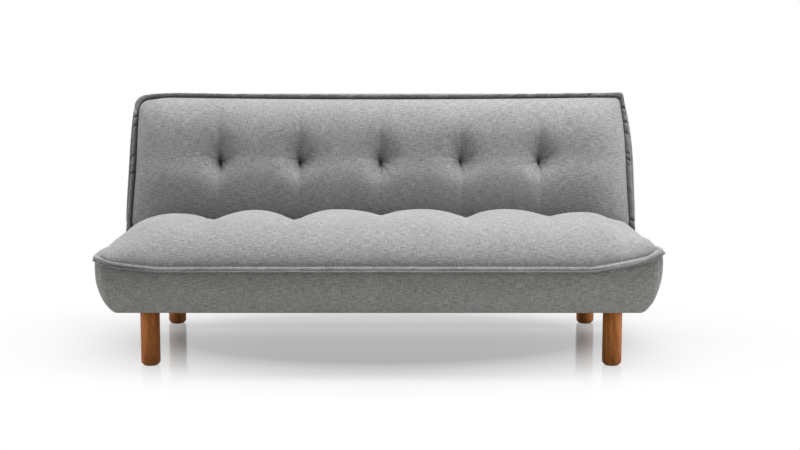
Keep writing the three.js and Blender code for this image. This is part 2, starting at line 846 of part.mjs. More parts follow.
// The pawl: a bar from its boss to a nose under the teeth, and a tail for the spring.
// It is drawn from its own pivot.
function pawlGeometry() {
  const tip = Math.sqrt((sectorRadius + pawlNoseGap) ** 2 - pawlNoseWidth ** 2);
  const noseTop = pawlDrop - tip;
  const noseRear = pawlSetback;
  const noseFront = noseRear - pawlNoseWidth;
  const barHalf = pawlBarHeight / 2;
  const nose = new THREE.Shape();
  nose.moveTo(0, -barHalf);
  nose.lineTo(noseRear, -barHalf);
  nose.lineTo(noseRear, noseTop - pawlNoseGap);
  nose.lineTo(noseFront, noseTop - pawlNoseGap);
  nose.lineTo(noseFront - pawlNoseWidth, barHalf);
  nose.lineTo(0, barHalf);
  const tailEnd = new THREE.Vector2(-pawlTailLength, 0);
  const tail = taperedLink(new THREE.Vector2(0, 0), barHalf, tailEnd, barHalf * pawlTailShare);
  const body = joined(
    sideProfile(nose, ratchetThickness, 0),
    sideProfile(tail, ratchetThickness, 0),
    crossBar(2 * pawlBossRadius, innerGap - 2 * clearance, 0, 0, 0),
  );
  const bore = crossBar(pawlPinDiameter + 2 * pivotPlay, innerGap + overrun, 0, 0, 0);
  return cut(body, bore);
}

// An upright tension spring: a straight end, close turns, and a straight end.
class CoilCurve extends THREE.Curve {
  constructor(bottom, top) {
    super();
    this.bottom = bottom;
    this.top = top;
  }

  getPoint(t, target = new THREE.Vector3()) {
    const turn = 2 * Math.PI * coilTurns * t;
    const height = this.bottom + (this.top - this.bottom) * t;
    return target.set(coilRadius * Math.cos(turn), coilRadius * Math.sin(turn), height);
  }
}

function pawlSpringGeometry() {
  const bottom = postAt.y + postDiameter / 2 + coilWire / 2 + clearance;
  const top = pawlAt.y - (pawlBarHeight / 2) * pawlTailShare - coilWire / 2 - clearance;
  const section = new THREE.Shape();
  for (let k = 0; k < coilSides; k += 1) {
    const turn = (k / coilSides) * 2 * Math.PI;
    const point = [(coilWire / 2) * Math.cos(turn), (coilWire / 2) * Math.sin(turn)];
    if (k === 0) section.moveTo(...point);
    else section.lineTo(...point);
  }
  const geometry = new THREE.ExtrudeGeometry(section, {
    steps: coilTurns * coilStepsPerTurn,
    extrudePath: new CoilCurve(bottom, top),
    bevelEnabled: false,
  });
  return geometry.translate(0, postAt.x, 0);
}

// Seat and back covers as pads and borders

const seatPad = {
  halfWidth,
  low: 0,
  high: seatDepth,
  crown: seatCrown,
  lowReach: seatFrontReach,
  highReach: seatRearReach,
  sideReach: seatSideReach,
  tuftAt: seatTuftSetback,
  tuftDepth: seatTuftDepth,
  tuftRadius: seatTuftRadius,
  grooveDepth: seatGrooveDepth,
  lift: seatLift,
  place: (a, b, c) => new THREE.Vector3(a, b, c + flangeUnderside),
};

const backPad = {
  halfWidth,
  low: backBottom,
  high: backTop,
  crown: backCrown,
  lowReach: backBottomReach,
  highReach: backTopReach,
  sideReach: backSideReach,
  tuftAt: backBottom + backTuftHeight,
  tuftDepth: backTuftDepth,
  tuftRadius: backTuftRadius,
  grooveDepth: backGrooveDepth,
  lift: noLift,
  place: (a, b, c) => new THREE.Vector3(a, -c - backRear, b),
};

const seatBorder = {
  halfWidth,
  low: 0,
  high: seatDepth,
  height: borderTop - bodyBottomHeight,
  taper: seatBorderTaper,
  reach: cornerLift,
  edgeShares: curledEdgeShares,
  lift: seatLift,
  place: (a, b, c) => new THREE.Vector3(a, b, c + borderTop),
};

const backBorder = {
  halfWidth,
  low: backBottom,
  high: backTop,
  height: backShellDepth,
  taper: backBorderTaper,
  reach: 0,
  edgeShares: plainEdgeShares,
  lift: noLift,
  place: (a, b, c) => new THREE.Vector3(a, -c - backRear + clearance, b),
};

// The backrest's timber lies just inside its rear panel, and its face just behind the cushion.
const backLipFront = clearance - backRear + backShellDepth - lipThickness;
const backPanelFront = backLipFront - clearance - backPanelThickness;
const backTimberRear = backPanelFront - clearance;
const backTimberFront = backTimberRear - backFrameDepth;

function sheetInset(border) {
  return borderInset(1 - lipThickness / border.height, border.taper) + coverThickness + clearance;
}

// How far square timber stands off a border's wall, so that it clears the round corners.
const squareInRound = leastCornerRadius * (1 - Math.SQRT1_2);

function seatTimberInset() {
  const share = (borderTop - timberBottom) / seatBorder.height;
  const lifted = share + (cornerLift * (1 - share) ** 2) / seatBorder.height;
  return borderInset(lifted, seatBorder.taper) + coverThickness + squareInRound + clearance;
}

function backTimberInset() {
  const share = (backTimberRear - clearance + backRear) / backBorder.height;
  return borderInset(share, backBorder.taper) + coverThickness + squareInRound + clearance;
}

function mesh(name, geometry, material) {
  const made = new THREE.Mesh(geometryOf(solidOf(geometry)), material);
  made.name = name;
  return made;
}

function addLegs(group) {
  const places = [
    ["front_left", -legX, frontLegInset],
    ["front_right", legX, frontLegInset],
    ["rear_left", -legX, rearLegY],
    ["rear_right", legX, rearLegY],
  ];
  for (const [place, x, y] of places) {
    const corner = new THREE.Group();
    corner.position.set(x, y, 0);
    corner.add(mesh("leg_" + place, legGeometry(), legMaterial()));
    corner.add(mesh("glide_" + place, gliderGeometry(), gliderMaterial()));
    corner.add(mesh("leg_plate_" + place, legPlateGeometry(), zincMaterial()));
    group.add(corner);
  }
}

function addUnderframe(group) {
  for (const [side, x] of [["left", -legX], ["right", legX]]) {
    const rail = mesh("side_rail_" + side, sideRailGeometry(), paintedSteelMaterial());
    rail.position.x = x;
    group.add(rail);
  }
  for (const [place, y] of [["front", frontLegInset], ["rear", rearLegY]]) {
    const tube = mesh("cross_tube_" + place, crossTubeGeometry(), paintedSteelMaterial());
    tube.position.y = y;
    group.add(tube);
  }
}

function addSeatFrame(group) {
  const inset = seatTimberInset();
  const right = halfWidth - inset;
  const front = inset;
  const rear = seatDepth - inset;
  const frontInner = front + frontBoardThickness;
  const rearInner = rear - boardThickness;
  const board = (name, x0, x1, y0, y1) =>
    group.add(mesh(name, block(x0, x1, y0, y1, timberBottom, timberTop), timberMaterial()));
  board("seat_board_front", -right, right, front, frontInner);
  board("seat_board_rear", -right, right, rearInner, rear);
  const low = frontInner + clearance;
  const high = rearInner - clearance;
  board("seat_board_left", -right, -right + boardThickness, low, high);
  board("seat_board_right", right - boardThickness, right, low, high);
  board("seat_brace", -boardThickness / 2, boardThickness / 2, low, high);
  for (let k = 0; k < seatSpringCount; k += 1) {
    const x = (k - (seatSpringCount - 1) / 2) * seatSpringGap;
    const z = timberTop + clearance + springWire / 2;
    const place = (across, along) => new THREE.Vector3(x + across, along, z);
    const curve = new ZigzagCurve(front + frontBoardThickness / 2, rear - boardThickness / 2, place);
    group.add(mesh("seat_spring_" + (k + 1), springGeometry(curve), springMaterial()));
  }
  const felt = block(-right, right, front, rear, feltTop - feltThickness, feltTop);
  group.add(mesh("seat_felt", felt, feltMaterial()));
}

// The slots at the seat's rear that the rails and hinges pass through.
function seatSlots() {
  const cutters = [];
  for (const x of [-legX, legX]) {
    cutters.push(
      block(
        x - pocketHalfWidth,
        x + pocketHalfWidth,
        seatDepth - seatBorderTaper - lipWidth - cornerReturn - overrun,
        seatDepth + overrun,
        bodyBottomHeight - overrun,
        borderTop - slotTopGap,
      ),
    );
  }
  return cutters;
}

function addSeatCovers(group) {
  const panels = borderPanels(seatBorder, borderGeometry(seatBorder));
  group.add(mesh("seat_border_front", panels.low, fabricMaterial()));
  group.add(mesh("seat_border_rear", cut(panels.high, ...seatSlots()), fabricMaterial()));
  group.add(mesh("seat_border_left", panels.left, fabricMaterial()));
  group.add(mesh("seat_border_right", panels.right, fabricMaterial()));
  group.add(mesh("seat_cushion", cushionGeometry(seatPad), fabricMaterial()));
  const dustTop = dustBottom + dustThickness;
  const cloth = insetSheet(seatBorder, sheetInset(seatBorder), dustBottom, dustTop);
  const holes = [];
  for (const x of [-legX, legX]) {
    const hole = new THREE.CylinderGeometry(1, 1, 2 * overrun, legSides);
    const radius = legDiameter / 2 + clearance;
    hole.scale(radius, 1, radius).rotateX(Math.PI / 2).translate(x, frontLegInset, dustBottom);
    holes.push(hole);
  }
  group.add(mesh("dust_cover", cut(cloth, ...holes, ...seatSlots()), dustMaterial()));
}

function addHinges(group) {
  for (const [side, x] of [["left", -legX], ["right", legX]]) {
    const hinge = new THREE.Group();
    hinge.position.set(x, pivotY, pivotZ);
    hinge.add(mesh("hinge_bracket_" + side, hingeBracketGeometry(), paintedSteelMaterial()));
    hinge.add(mesh("pivot_pin_" + side, pivotPinGeometry(), zincMaterial()));
    const pawl = mesh("pawl_" + side, pawlGeometry(), zincMaterial());
    pawl.position.set(0, pawlAt.x, pawlAt.y);
    hinge.add(pawl);
    hinge.add(mesh("pawl_spring_" + side, pawlSpringGeometry(), springMaterial()));
    group.add(hinge);
  }
}

// Pockets in the backrest round the hinges.
function backPockets() {
  return [-legX, legX].map((x) => crossBar(2 * pocketRadius, 2 * pocketHalfWidth, x, 0, 0));
}

function addBackFrame(backrest) {
  const inset = backTimberInset();
  const right = halfWidth - inset;
  const low = backBottom + inset;
  const high = backTop - inset;
  const board = (x0, x1, z0, z1) => block(x0, x1, backTimberFront, backTimberRear, z0, z1);
  const mortises = [-legX, legX].map((x) =>
    block(
      x - ratchetThickness / 2 - clearance,
      x + ratchetThickness / 2 + clearance,
      backTimberFront - overrun,
      armSetback + armWidth,
      low - overrun,
      low + boardThickness + overrun,
    ),
  );
  const bottom = cut(board(-right, right, low, low + boardThickness), ...mortises);
  backrest.add(mesh("back_rail_bottom", bottom, timberMaterial()));
  const top = board(-right, right, high - boardThickness, high);
  backrest.add(mesh("back_rail_top", top, timberMaterial()));
  const z0 = low + boardThickness + clearance;
  const z1 = high - boardThickness - clearance;
  for (const [side, sign] of [["left", -1], ["right", 1]]) {
    const stile = (name, x) => {
      const middle = sign * (x + boardThickness / 2);
      const made = board(middle - boardThickness / 2, middle + boardThickness / 2, z0, z1);
      backrest.add(mesh(name + side, made, timberMaterial()));
    };
    stile("back_end_", right - boardThickness);
    stile("back_stile_", legX + ratchetThickness / 2 + clearance);
    const arm = mesh("back_arm_" + side, backArmGeometry(), paintedSteelMaterial());
    arm.position.x = sign * legX;
    backrest.add(arm);
  }
  for (let k = 0; k < backSpringCount; k += 1) {
    const x = (k - (backSpringCount - 1) / 2) * backSpringGap;
    const y = backTimberFront - clearance - springWire / 2;
    const place = (across, along) => new THREE.Vector3(x + across, y, along);
    const curve = new ZigzagCurve(low + boardThickness / 2, high - boardThickness / 2, place);
    backrest.add(mesh("back_spring_" + (k + 1), springGeometry(curve), springMaterial()));
  }
}

function addBackCovers(backrest) {
  const pockets = backPockets();
  const cushion = cut(cushionGeometry(backPad), ...pockets);
  backrest.add(mesh("back_cushion", cushion, fabricMaterial()));
  const panels = borderPanels(backBorder, borderGeometry(backBorder));
  backrest.add(mesh("back_border_bottom", cut(panels.low, ...pockets), fabricMaterial()));
  backrest.add(mesh("back_border_top", panels.high, fabricMaterial()));
  backrest.add(mesh("back_border_left", panels.left, fabricMaterial()));
  backrest.add(mesh("back_border_right", panels.right, fabricMaterial()));
  const placed = insetSheet(backBorder, sheetInset(backBorder), -backPanelThickness, 0);
  placed.applyMatrix4(
    new THREE.Matrix4().makeBasis(
      new THREE.Vector3(1, 0, 0),
      new THREE.Vector3(0, 0, 1),
      new THREE.Vector3(0, -1, 0),
    ),
  );
  placed.translate(0, backPanelFront, 0);
  backrest.add(mesh("back_panel", placed, fabricMaterial()));
}

function buildSofa() {
  const base = new THREE.Group();
  addLegs(base);
  addUnderframe(base);
  addSeatFrame(base);
  addSeatCovers(base);
  addHinges(base);
  const backrest = new THREE.Group();
  backrest.position.set(0, pivotY, pivotZ);
  backrest.rotation.x = -leanRadians;
  addBackFrame(backrest);
  addBackCovers(backrest);
  base.add(backrest);
  const sofa = new THREE.Group();
  sofa.add(base);
  sofa.updateMatrixWorld(true);
  const box = new THREE.Box3().setFromObject(sofa, true);
  base.position.y = -(box.min.y + box.max.y) / 2;
  return sofa;
}

const sofa = buildSofa();

export default sofa;
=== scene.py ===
import json
import math
import bmesh
import bpy
import numpy as np
from mathutils import Matrix, Vector, noise


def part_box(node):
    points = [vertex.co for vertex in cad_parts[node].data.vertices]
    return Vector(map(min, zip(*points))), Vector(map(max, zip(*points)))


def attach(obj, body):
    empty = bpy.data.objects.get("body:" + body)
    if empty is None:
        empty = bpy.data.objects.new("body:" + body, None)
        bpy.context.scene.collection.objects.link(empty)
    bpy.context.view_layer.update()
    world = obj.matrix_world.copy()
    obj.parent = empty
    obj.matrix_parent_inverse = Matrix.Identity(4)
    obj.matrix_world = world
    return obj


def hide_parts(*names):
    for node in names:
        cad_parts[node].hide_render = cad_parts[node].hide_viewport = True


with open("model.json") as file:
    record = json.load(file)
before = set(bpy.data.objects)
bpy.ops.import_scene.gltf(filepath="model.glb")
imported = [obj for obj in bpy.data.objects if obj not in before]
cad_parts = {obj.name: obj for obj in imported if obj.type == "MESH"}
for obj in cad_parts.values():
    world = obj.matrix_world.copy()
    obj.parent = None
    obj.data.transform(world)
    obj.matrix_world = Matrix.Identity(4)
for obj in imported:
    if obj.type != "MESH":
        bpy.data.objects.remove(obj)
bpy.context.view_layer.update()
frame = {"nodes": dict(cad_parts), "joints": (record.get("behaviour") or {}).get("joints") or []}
print("frame loaded:", len(frame["nodes"]), "nodes")

# Where things are. The pads are drawn flat, with x across, y along and z up from the
# underside of their flange, and then put in place on the seat or on the leaning backrest.
sofa = {
    "seatDepth": 0.6,
    "pivotSetback": 0.04,
    "flangeUnderside": 0.338,
    "lean": 19.5,
    "shellGap": 0.0045,
    "legX": 0.75,
    "tuftCount": 5,
    "tuftPitch": 0.283,
}
quarterTurn = math.radians(90)
recline = next(j for j in frame["joints"] if j["name"] == "backrest_recline")
hinge = Vector(recline["pos_m"])
seatFront = hinge.y - sofa["seatDepth"] - sofa["pivotSetback"]
seatTurn = Matrix.Translation((0, seatFront, sofa["flangeUnderside"]))
backTurn = (
    Matrix.Translation(hinge)
    @ Matrix.Rotation(-math.radians(sofa["lean"]), 4, "X")
    @ Matrix.Translation((0, sofa["shellGap"], 0))
    @ Matrix.Rotation(quarterTurn, 4, "X")
)
middleTuft = (sofa["tuftCount"] - 1) / 2
tuftColumns = [(k - middleTuft) * sofa["tuftPitch"] for k in range(sofa["tuftCount"])]


# Node helpers

nodeTrees = []
nodeSpacing = (220, 260)


def feedNode(tree, node, values):
    # each input takes the output of another node, or a plain value
    for name, value in values.items():
        socket = node.inputs[name]
        if isinstance(value, bpy.types.NodeSocket):
            tree.links.new(value, socket)
        else:
            socket.default_value = (*value, 1) if socket.type == "RGBA" else value


def addNode(tree, kind, values=None, **settings):
    made = tree.nodes.new("ShaderNode" + kind)
    for name, value in settings.items():
        setattr(made, name, value)
    feedNode(tree, made, values or {})
    return made


def newMaterial(name):
    material = bpy.data.materials.new(name)
    material.use_nodes = True
    tree = material.node_tree
    tree.nodes.clear()
    nodeTrees.append(tree)
    shader = addNode(tree, "BsdfPrincipled")
    addNode(tree, "OutputMaterial", {"Surface": shader.outputs["BSDF"]})
    return material, tree, shader


def newGroup(name, inputs, outputs):
    # inputs and outputs give each socket's name and kind
    group = bpy.data.node_groups.new(name, "ShaderNodeTree")
    nodeTrees.append(group)
    for side, sockets in (("INPUT", inputs), ("OUTPUT", outputs)):
        for label, kind in sockets.items():
            group.interface.new_socket(label, in_out=side, socket_type="NodeSocket" + kind)
    return group, group.nodes.new("NodeGroupInput").outputs, group.nodes.new("NodeGroupOutput")


def arrangeNodes(tree):
    # each node stands in a column to the left of all that it feeds
    columns = {}

    def place(node, column):
        if columns.get(node.name, -1) < column:
            columns[node.name] = column
            for socket in node.inputs:
                for link in socket.links:
                    place(link.from_node, column + 1)

    for node in tree.nodes:
        if not any(socket.is_linked for socket in node.outputs):
            place(node, 0)
    used = []
    across, down = nodeSpacing
    for node in tree.nodes:
        column = columns[node.name]
        node.location = (-across * column, -down * used.count(column))
        used.append(column)


def stretchedNoise(tree, vector, scale, detail, roughness=0.55):
    mapped = addNode(tree, "Mapping", {"Vector": vector, "Scale": scale}).outputs["Vector"]
    values = {"Vector": mapped, "Scale": 1.0, "Detail": detail, "Roughness": roughness}
    return addNode(tree, "TexNoise", values).outputs["Fac"]


def mathNode(tree, operation, *values, clamp=False):
    values = dict(enumerate(values))
    return addNode(tree, "Math", values, operation=operation, use_clamp=clamp).outputs[0]


def greyRamp(tree, value, *stops):
    # a mask from two stops, each with its place and its shade of grey
    made = addNode(tree, "ValToRGB", {"Fac": value})
    for element, (at, grey) in zip(made.color_ramp.elements, stops):
        element.position = at
        element.color = (grey, grey, grey, 1)
    return made.outputs["Color"]


def mixColour(tree, factor, first, second, blend="MIX"):
    # inputs 6 and 7 are the node's two colours, and output 2 its mixed one
    values = {0: factor, 6: first, 7: second}
    return addNode(tree, "Mix", values, data_type="RGBA", blend_type=blend).outputs[2]


def bumpNormal(tree, height, strength, distance):
    values = {"Height": height, "Strength": strength, "Distance": distance}
    return addNode(tree, "Bump", values).outputs["Normal"]


def objectPlace(tree):
    return addNode(tree, "TexCoord").outputs["Object"]


# Materials

# The woven melange: light threads both ways, thicker slubs, and short dark dashes where a
# dark thread comes up. Each pair is in turns per metre, along a thread and across it.
weaveSizes = {
    "threadPitch": 0.0024,
    "threads": (34.0, 600.0),
    "slubs": (62.0, 470.0),
    "dashes": (100.0, 500.0),
    "clouds": (7.0, 7.0),
    "weftShare": 1.2,
    "threadShare": 0.62,
    "slubShare": 0.3,
    "cloudShare": 0.12,
    "contrast": 1.8,
    "level": 0.62,
    "dashFrom": 0.27,
    "dashTo": 0.35,
    "dashDepth": 0.5,
    "basketHeight": 0.35,
    "roughness": 0.76,
    "roughnessSpread": 0.12,
    "bump": 0.4,
    "bumpDistance": 0.0006,
    # painted shade: the near-black that the cloth is mixed towards where its points carry painted
    # shade
    "paintedShadeColour": (0.05, 0.05, 0.051),  # deep in a seam, where the cloth seldom sees light
    "sheen": 0.08,
    "sheenRoughness": 0.6,
    "shine": 0.15,
}


def makeWeaveGroup():
    sizes = weaveSizes
    group, source, sink = newGroup(
        "melangeWeave",
        {"Vector": "Vector", "Dark Yarn": "Color", "Light Yarn": "Color"},
        {"Color": "Color", "Height": "Float", "Roughness": "Float"},
    )
    vector, darkYarn = source["Vector"], source["Dark Yarn"]

    def bothWays(name, detail):
        along, across = sizes[name]
        weft = stretchedNoise(group, vector, (along, across, 1), detail)
        return weft, stretchedNoise(group, vector, (across, along, 1), detail)

    def blend(name, detail):
        weft, warp = bothWays(name, detail)
        strong = mathNode(group, "MULTIPLY", weft, sizes["weftShare"])
        weak = mathNode(group, "MULTIPLY", warp, 2 - sizes["weftShare"])
        return mathNode(group, "ADD", strong, weak)

    threads = mathNode(group, "MULTIPLY", blend("threads", detail=1.0), sizes["threadShare"])
    slubs = mathNode(group, "MULTIPLY", blend("slubs", detail=2.0), sizes["slubShare"])
    cloud = stretchedNoise(group, vector, (*sizes["clouds"], 1), detail=2.0)
    clouds = mathNode(group, "MULTIPLY", cloud, sizes["cloudShare"])
    mixed = mathNode(group, "ADD", mathNode(group, "ADD", threads, slubs), clouds)
    middle = sizes["threadShare"] + sizes["slubShare"] + sizes["cloudShare"] / 2
    centred = mathNode(group, "SUBTRACT", mixed, middle)
    tone = mathNode(group, "MULTIPLY_ADD", centred, sizes["contrast"], sizes["level"], clamp=True)
    body = mixColour(group, tone, darkYarn, source["Light Yarn"])
    dash = mathNode(group, "MINIMUM", *bothWays("dashes", detail=0.0))
    dashMask = greyRamp(group, dash, (sizes["dashFrom"], 0.0), (sizes["dashTo"], 1.0))
    depth = sizes["dashDepth"]
    dashShare = mathNode(group, "MULTIPLY_ADD", dashMask, depth, 1 - depth)
    # the basket of over and under threads, seen close up only
    split = addNode(group, "SeparateXYZ", {0: vector})
    turn = 2 * math.pi / sizes["threadPitch"]
    angles = [mathNode(group, "MULTIPLY", split.outputs[k], turn) for k in range(2)]
    basket = mathNode(group, "MULTIPLY", *[mathNode(group, "SINE", angle) for angle in angles])
    relief = mathNode(group, "MULTIPLY", basket, sizes["basketHeight"])
    spread = sizes["roughnessSpread"]
    rough = mathNode(group, "MULTIPLY_ADD", mixed, spread, sizes["roughness"], clamp=True)
    feedNode(group, sink, {
        "Color": mixColour(group, dashShare, darkYarn, body),
        "Height": mathNode(group, "ADD", relief, mixed),
        "Roughness": rough,
    })
    return group


weaveGroup = makeWeaveGroup()


def clothMaterial(name, dark, light):
    # woven along the piece's own map, and darkened with painted shade where the piece's own shade
    # attribute gives it
    sizes = weaveSizes
    material, tree, shader = newMaterial(name)
    uv = addNode(tree, "UVMap", uv_map="clothUv").outputs["UV"]
    values = {"Vector": uv, "Dark Yarn": dark, "Light Yarn": light}
    weave = addNode(tree, "Group", values, node_tree=weaveGroup).outputs
    # painted shade, carried on each point of the piece
    paintedShadeMask = addNode(tree, "Attribute", attribute_name="seamShade").outputs["Fac"]
    feedNode(tree, shader, {
        "Base Color": mixColour(tree, paintedShadeMask, weave["Color"], sizes["paintedShadeColour"]),
        "Roughness": weave["Roughness"],
        "Normal": bumpNormal(tree, weave["Height"], sizes["bump"], sizes["bumpDistance"]),
        "Sheen Weight": sizes["sheen"],
        "Sheen Roughness": sizes["sheenRoughness"],
        "Specular IOR Level": sizes["shine"],
    })
    return material


greyCloth = clothMaterial("greyMelange", dark=(0.13, 0.13, 0.132), light=(0.58, 0.582, 0.59))
# the same cloth painted darker and a little warmer for the borders and the back panel: painted
# shade, and a painted warm tint of light thrown back by the floor
shadedBoxCloth = clothMaterial("greyMelangeBoxShaded", dark=(0.12, 0.122, 0.116), light=(0.525, 0.535, 0.51))

# The wood runs along z: fine streaks, broad bands and short dark pores, in turns per metre.
grainSizes = {
    "streaks": (95, 95, 5),
    "bands": (26, 26, 2.2),
    "pores": (900, 900, 28),
    "bandCount": 34.0,
    "bandDepth": 0.16,
    "contrast": 1.9,
    "level": -0.45,
    "poreFrom": 0.34,
    "poreTo": 0.44,
    "poreDark": 0.45,
    "relief": 0.6,
    "roughnessSpread": 0.2,
    "bumpDistance": 0.0006,
}


def makeGrainGroup():
    sizes = grainSizes
    group, source, sink = newGroup(
        "woodGrain",
        {"Vector": "Vector", "Dark": "Color", "Light": "Color"},
        {"Color": "Color", "Height": "Float"},
    )
    streaks = stretchedNoise(group, source["Vector"], sizes["streaks"], detail=3.0, roughness=0.6)
    broad = stretchedNoise(group, source["Vector"], sizes["bands"], detail=2.0)
    pores = stretchedNoise(group, source["Vector"], sizes["pores"], detail=1.0)
    bands = mathNode(group, "SINE", mathNode(group, "MULTIPLY", broad, sizes["bandCount"]))
    tone = mathNode(group, "ADD", streaks, mathNode(group, "MULTIPLY", bands, sizes["bandDepth"]))
    lifted = mathNode(group, "MULTIPLY_ADD", tone, sizes["contrast"], sizes["level"], clamp=True)
    body = mixColour(group, lifted, source["Dark"], source["Light"])
    poreStop = (sizes["poreFrom"], sizes["poreDark"])
    poreMask = greyRamp(group, pores, poreStop, (sizes["poreTo"], 1.0))
    reliefs = [mathNode(group, "MULTIPLY", part, sizes["relief"]) for part in (streaks, pores)]
    feedNode(group, sink, {
        "Color": mixColour(group, 1.0, body, poreMask, blend="MULTIPLY"),
        "Height": mathNode(group, "ADD", *reliefs),
    })
    return group


grainGroup = makeGrainGroup()


def woodMaterial(name, dark, light, roughness, bump, shine, turn=(0, 0, 0)):
    sizes = grainSizes
    material, tree, shader = newMaterial(name)
    mapped = addNode(tree, "Mapping", {"Vector": objectPlace(tree), "Rotation": turn})
    values = {"Vector": mapped.outputs["Vector"], "Dark": dark, "Light": light}
    grain = addNode(tree, "Group", values, node_tree=grainGroup).outputs
    spread = sizes["roughnessSpread"]
    feedNode(tree, shader, {
        "Base Color": grain["Color"],
        "Roughness": mathNode(tree, "MULTIPLY_ADD", grain["Height"], spread, roughness),
        "Normal": bumpNormal(tree, grain["Height"], bump, sizes["bumpDistance"]),
        "Specular IOR Level": shine,
    })
    return material


legOil = {
    "dark": (0.43, 0.132, 0.025),
    "light": (0.68, 0.24, 0.055),
    "roughness": 0.4,
    "bump": 0.15,
    "shine": 0.25,
}
pine = {
    "dark": (0.36, 0.2, 0.085),
    "light": (0.68, 0.48, 0.27),
    "roughness": 0.6,
    "bump": 0.3,
    "shine": 0.4,
}
legWood = woodMaterial("oiledLegWood", **legOil)
pineAcross = woodMaterial("planedPineAcross", **pine, turn=(0, quarterTurn, 0))
pineAlong = woodMaterial("planedPineAlong", **pine, turn=(quarterTurn, 0, 0))
pineUp = woodMaterial("planedPineUp", **pine)

steelSizes = {
    "cloudScale": 22.0,
    "wornFrom": 0.4,
    "wornTo": 0.75,
    "roughnessSpread": 0.35,
    "bumpDistance": 0.0002,
}


def makeSteelGroup():
    sizes = steelSizes
    kinds = {"Vector": "Vector", "Base": "Color", "Worn": "Color", "Grain Scale": "Float"}
    group, source, sink = newGroup(
        "coatedSteel",
        {**kinds, "Roughness": "Float"},
        {"Color": "Color", "Roughness": "Float", "Height": "Float"},
    )
    values = {"Vector": source["Vector"], "Scale": source["Grain Scale"], "Detail": 2.0}
    speck = addNode(group, "TexNoise", values).outputs["Fac"]
    values = {"Vector": source["Vector"], "Scale": sizes["cloudScale"], "Detail": 3.0}
    cloud = addNode(group, "TexNoise", values).outputs["Fac"]
    worn = greyRamp(group, cloud, (sizes["wornFrom"], 0.0), (sizes["wornTo"], 1.0))
    centred = mathNode(group, "SUBTRACT", speck, 0.5)
    spread = mathNode(group, "MULTIPLY", centred, sizes["roughnessSpread"])
    feedNode(group, sink, {
        "Color": mixColour(group, worn, source["Base"], source["Worn"]),
        "Roughness": mathNode(group, "ADD", spread, source["Roughness"], clamp=True),
        "Height": speck,
    })
    return group


steelGroup = makeSteelGroup()


def steelMaterial(name, base, worn, grainScale, roughness, metallic, bump):
    material, tree, shader = newMaterial(name)
    values = {"Vector": objectPlace(tree), "Base": base, "Worn": worn}
    values |= {"Grain Scale": grainScale, "Roughness": roughness}
    steel = addNode(tree, "Group", values, node_tree=steelGroup).outputs
    feedNode(tree, shader, {
        "Base Color": steel["Color"],
        "Roughness": steel["Roughness"],
        "Normal": bumpNormal(tree, steel["Height"], bump, steelSizes["bumpDistance"]),
        "Metallic": metallic,
    })
    return material


coats = {
    "blackPowderCoat": {
        "base": (0.022, 0.023, 0.025),
        "worn": (0.04, 0.041, 0.044),
        "grainScale": 1500.0,
        "roughness": 0.5,
        "metallic": 0.0,
        "bump": 0.5,
    },
    "zincPlate": {
        "base": (0.56, 0.58, 0.6),
        "worn": (0.46, 0.47, 0.46),
        "grainScale": 700.0,
        "roughness": 0.34,
        "metallic": 1.0,
        "bump": 0.15,
    },
    "drawnWire": {
        "base": (0.3, 0.31, 0.32),
        "worn": (0.2, 0.2, 0.21),
        "grainScale": 500.0,
        "roughness": 0.38,
        "metallic": 1.0,
        "bump": 0.2,
    },
    "glidePlastic": {
        "base": (0.035, 0.03, 0.027),
        "worn": (0.05, 0.044, 0.04),
        "grainScale": 600.0,
        "roughness": 0.6,
        "metallic": 0.0,
        "bump": 0.2,
    },
}
blackCoat, zincPlate, springWire, glidePlastic = (
    steelMaterial(name, **coat) for name, coat in coats.items()
)

fleeceSizes = {"fibreRoughness": 0.7, "dentShare": 0.7, "roughness": 0.95, "bumpDistance": 0.0006}


def fleeceMaterial(name, dark, light, scale, bump):
    sizes = fleeceSizes
    material, tree, shader = newMaterial(name)
    place = objectPlace(tree)
    rough = sizes["fibreRoughness"]
    fibres = stretchedNoise(tree, place, (scale, scale, scale), detail=4.0, roughness=rough)
    values = {"Vector": place, "Scale": scale * sizes["dentShare"]}
    dents = addNode(tree, "TexVoronoi", values).outputs["Distance"]
    height = mathNode(tree, "ADD", fibres, dents)
    feedNode(tree, shader, {
        "Base Color": mixColour(tree, fibres, dark, light),
        "Roughness": sizes["roughness"],
        "Normal": bumpNormal(tree, height, bump, sizes["bumpDistance"]),
    })
    return material


fleeces = {
    "dustCloth": {
        "dark": (0.012, 0.012, 0.013),
        "light": (0.04, 0.04, 0.043),
        "scale": 420.0,
        "bump": 0.5,
    },
    "needleFelt": {
        "dark": (0.09, 0.085, 0.08),
        "light": (0.26, 0.25, 0.235),
        "scale": 260.0,
        "bump": 0.8,
    },
}
dustCloth, needleFelt = (fleeceMaterial(name, **fleece) for name, fleece in fleeces.items())
print("materials made:", len(bpy.data.materials))


# Mesh helpers

def finishPiece(bm, name, material, body, replaced=()):
    mesh = bpy.data.meshes.new(name)
    bm.to_mesh(mesh)
    bm.free()
    mesh.materials.append(material)
    mesh.shade_smooth()
    made = bpy.data.objects.new(name, mesh)
    bpy.context.scene.collection.objects.link(made)
    if body:
        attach(made, body)
        if replaced:
            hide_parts(*replaced)
    return made


def spreadLines(low, high, count, marks=(), pull=0.0, width=1.0, edgePull=5.0, edgeWidth=0.012):
    # places of grid lines, closer together near the edges and the marks
    samples = 2001
    at = np.linspace(low, high, samples)
    density = 1 + edgePull * (np.exp(-(at - low) / edgeWidth) + np.exp(-(high - at) / edgeWidth))
    for mark in marks:
        density += pull * np.exp(-(((at - mark) / width) ** 2))
    sums = np.concatenate(([0], np.cumsum((density[1:] + density[:-1]) / 2)))
    return np.interp(np.linspace(0, sums[-1], count + 1), sums, at)


def noiseAt(x, y, z):
    return noise.noise(Vector((x, y, z)))


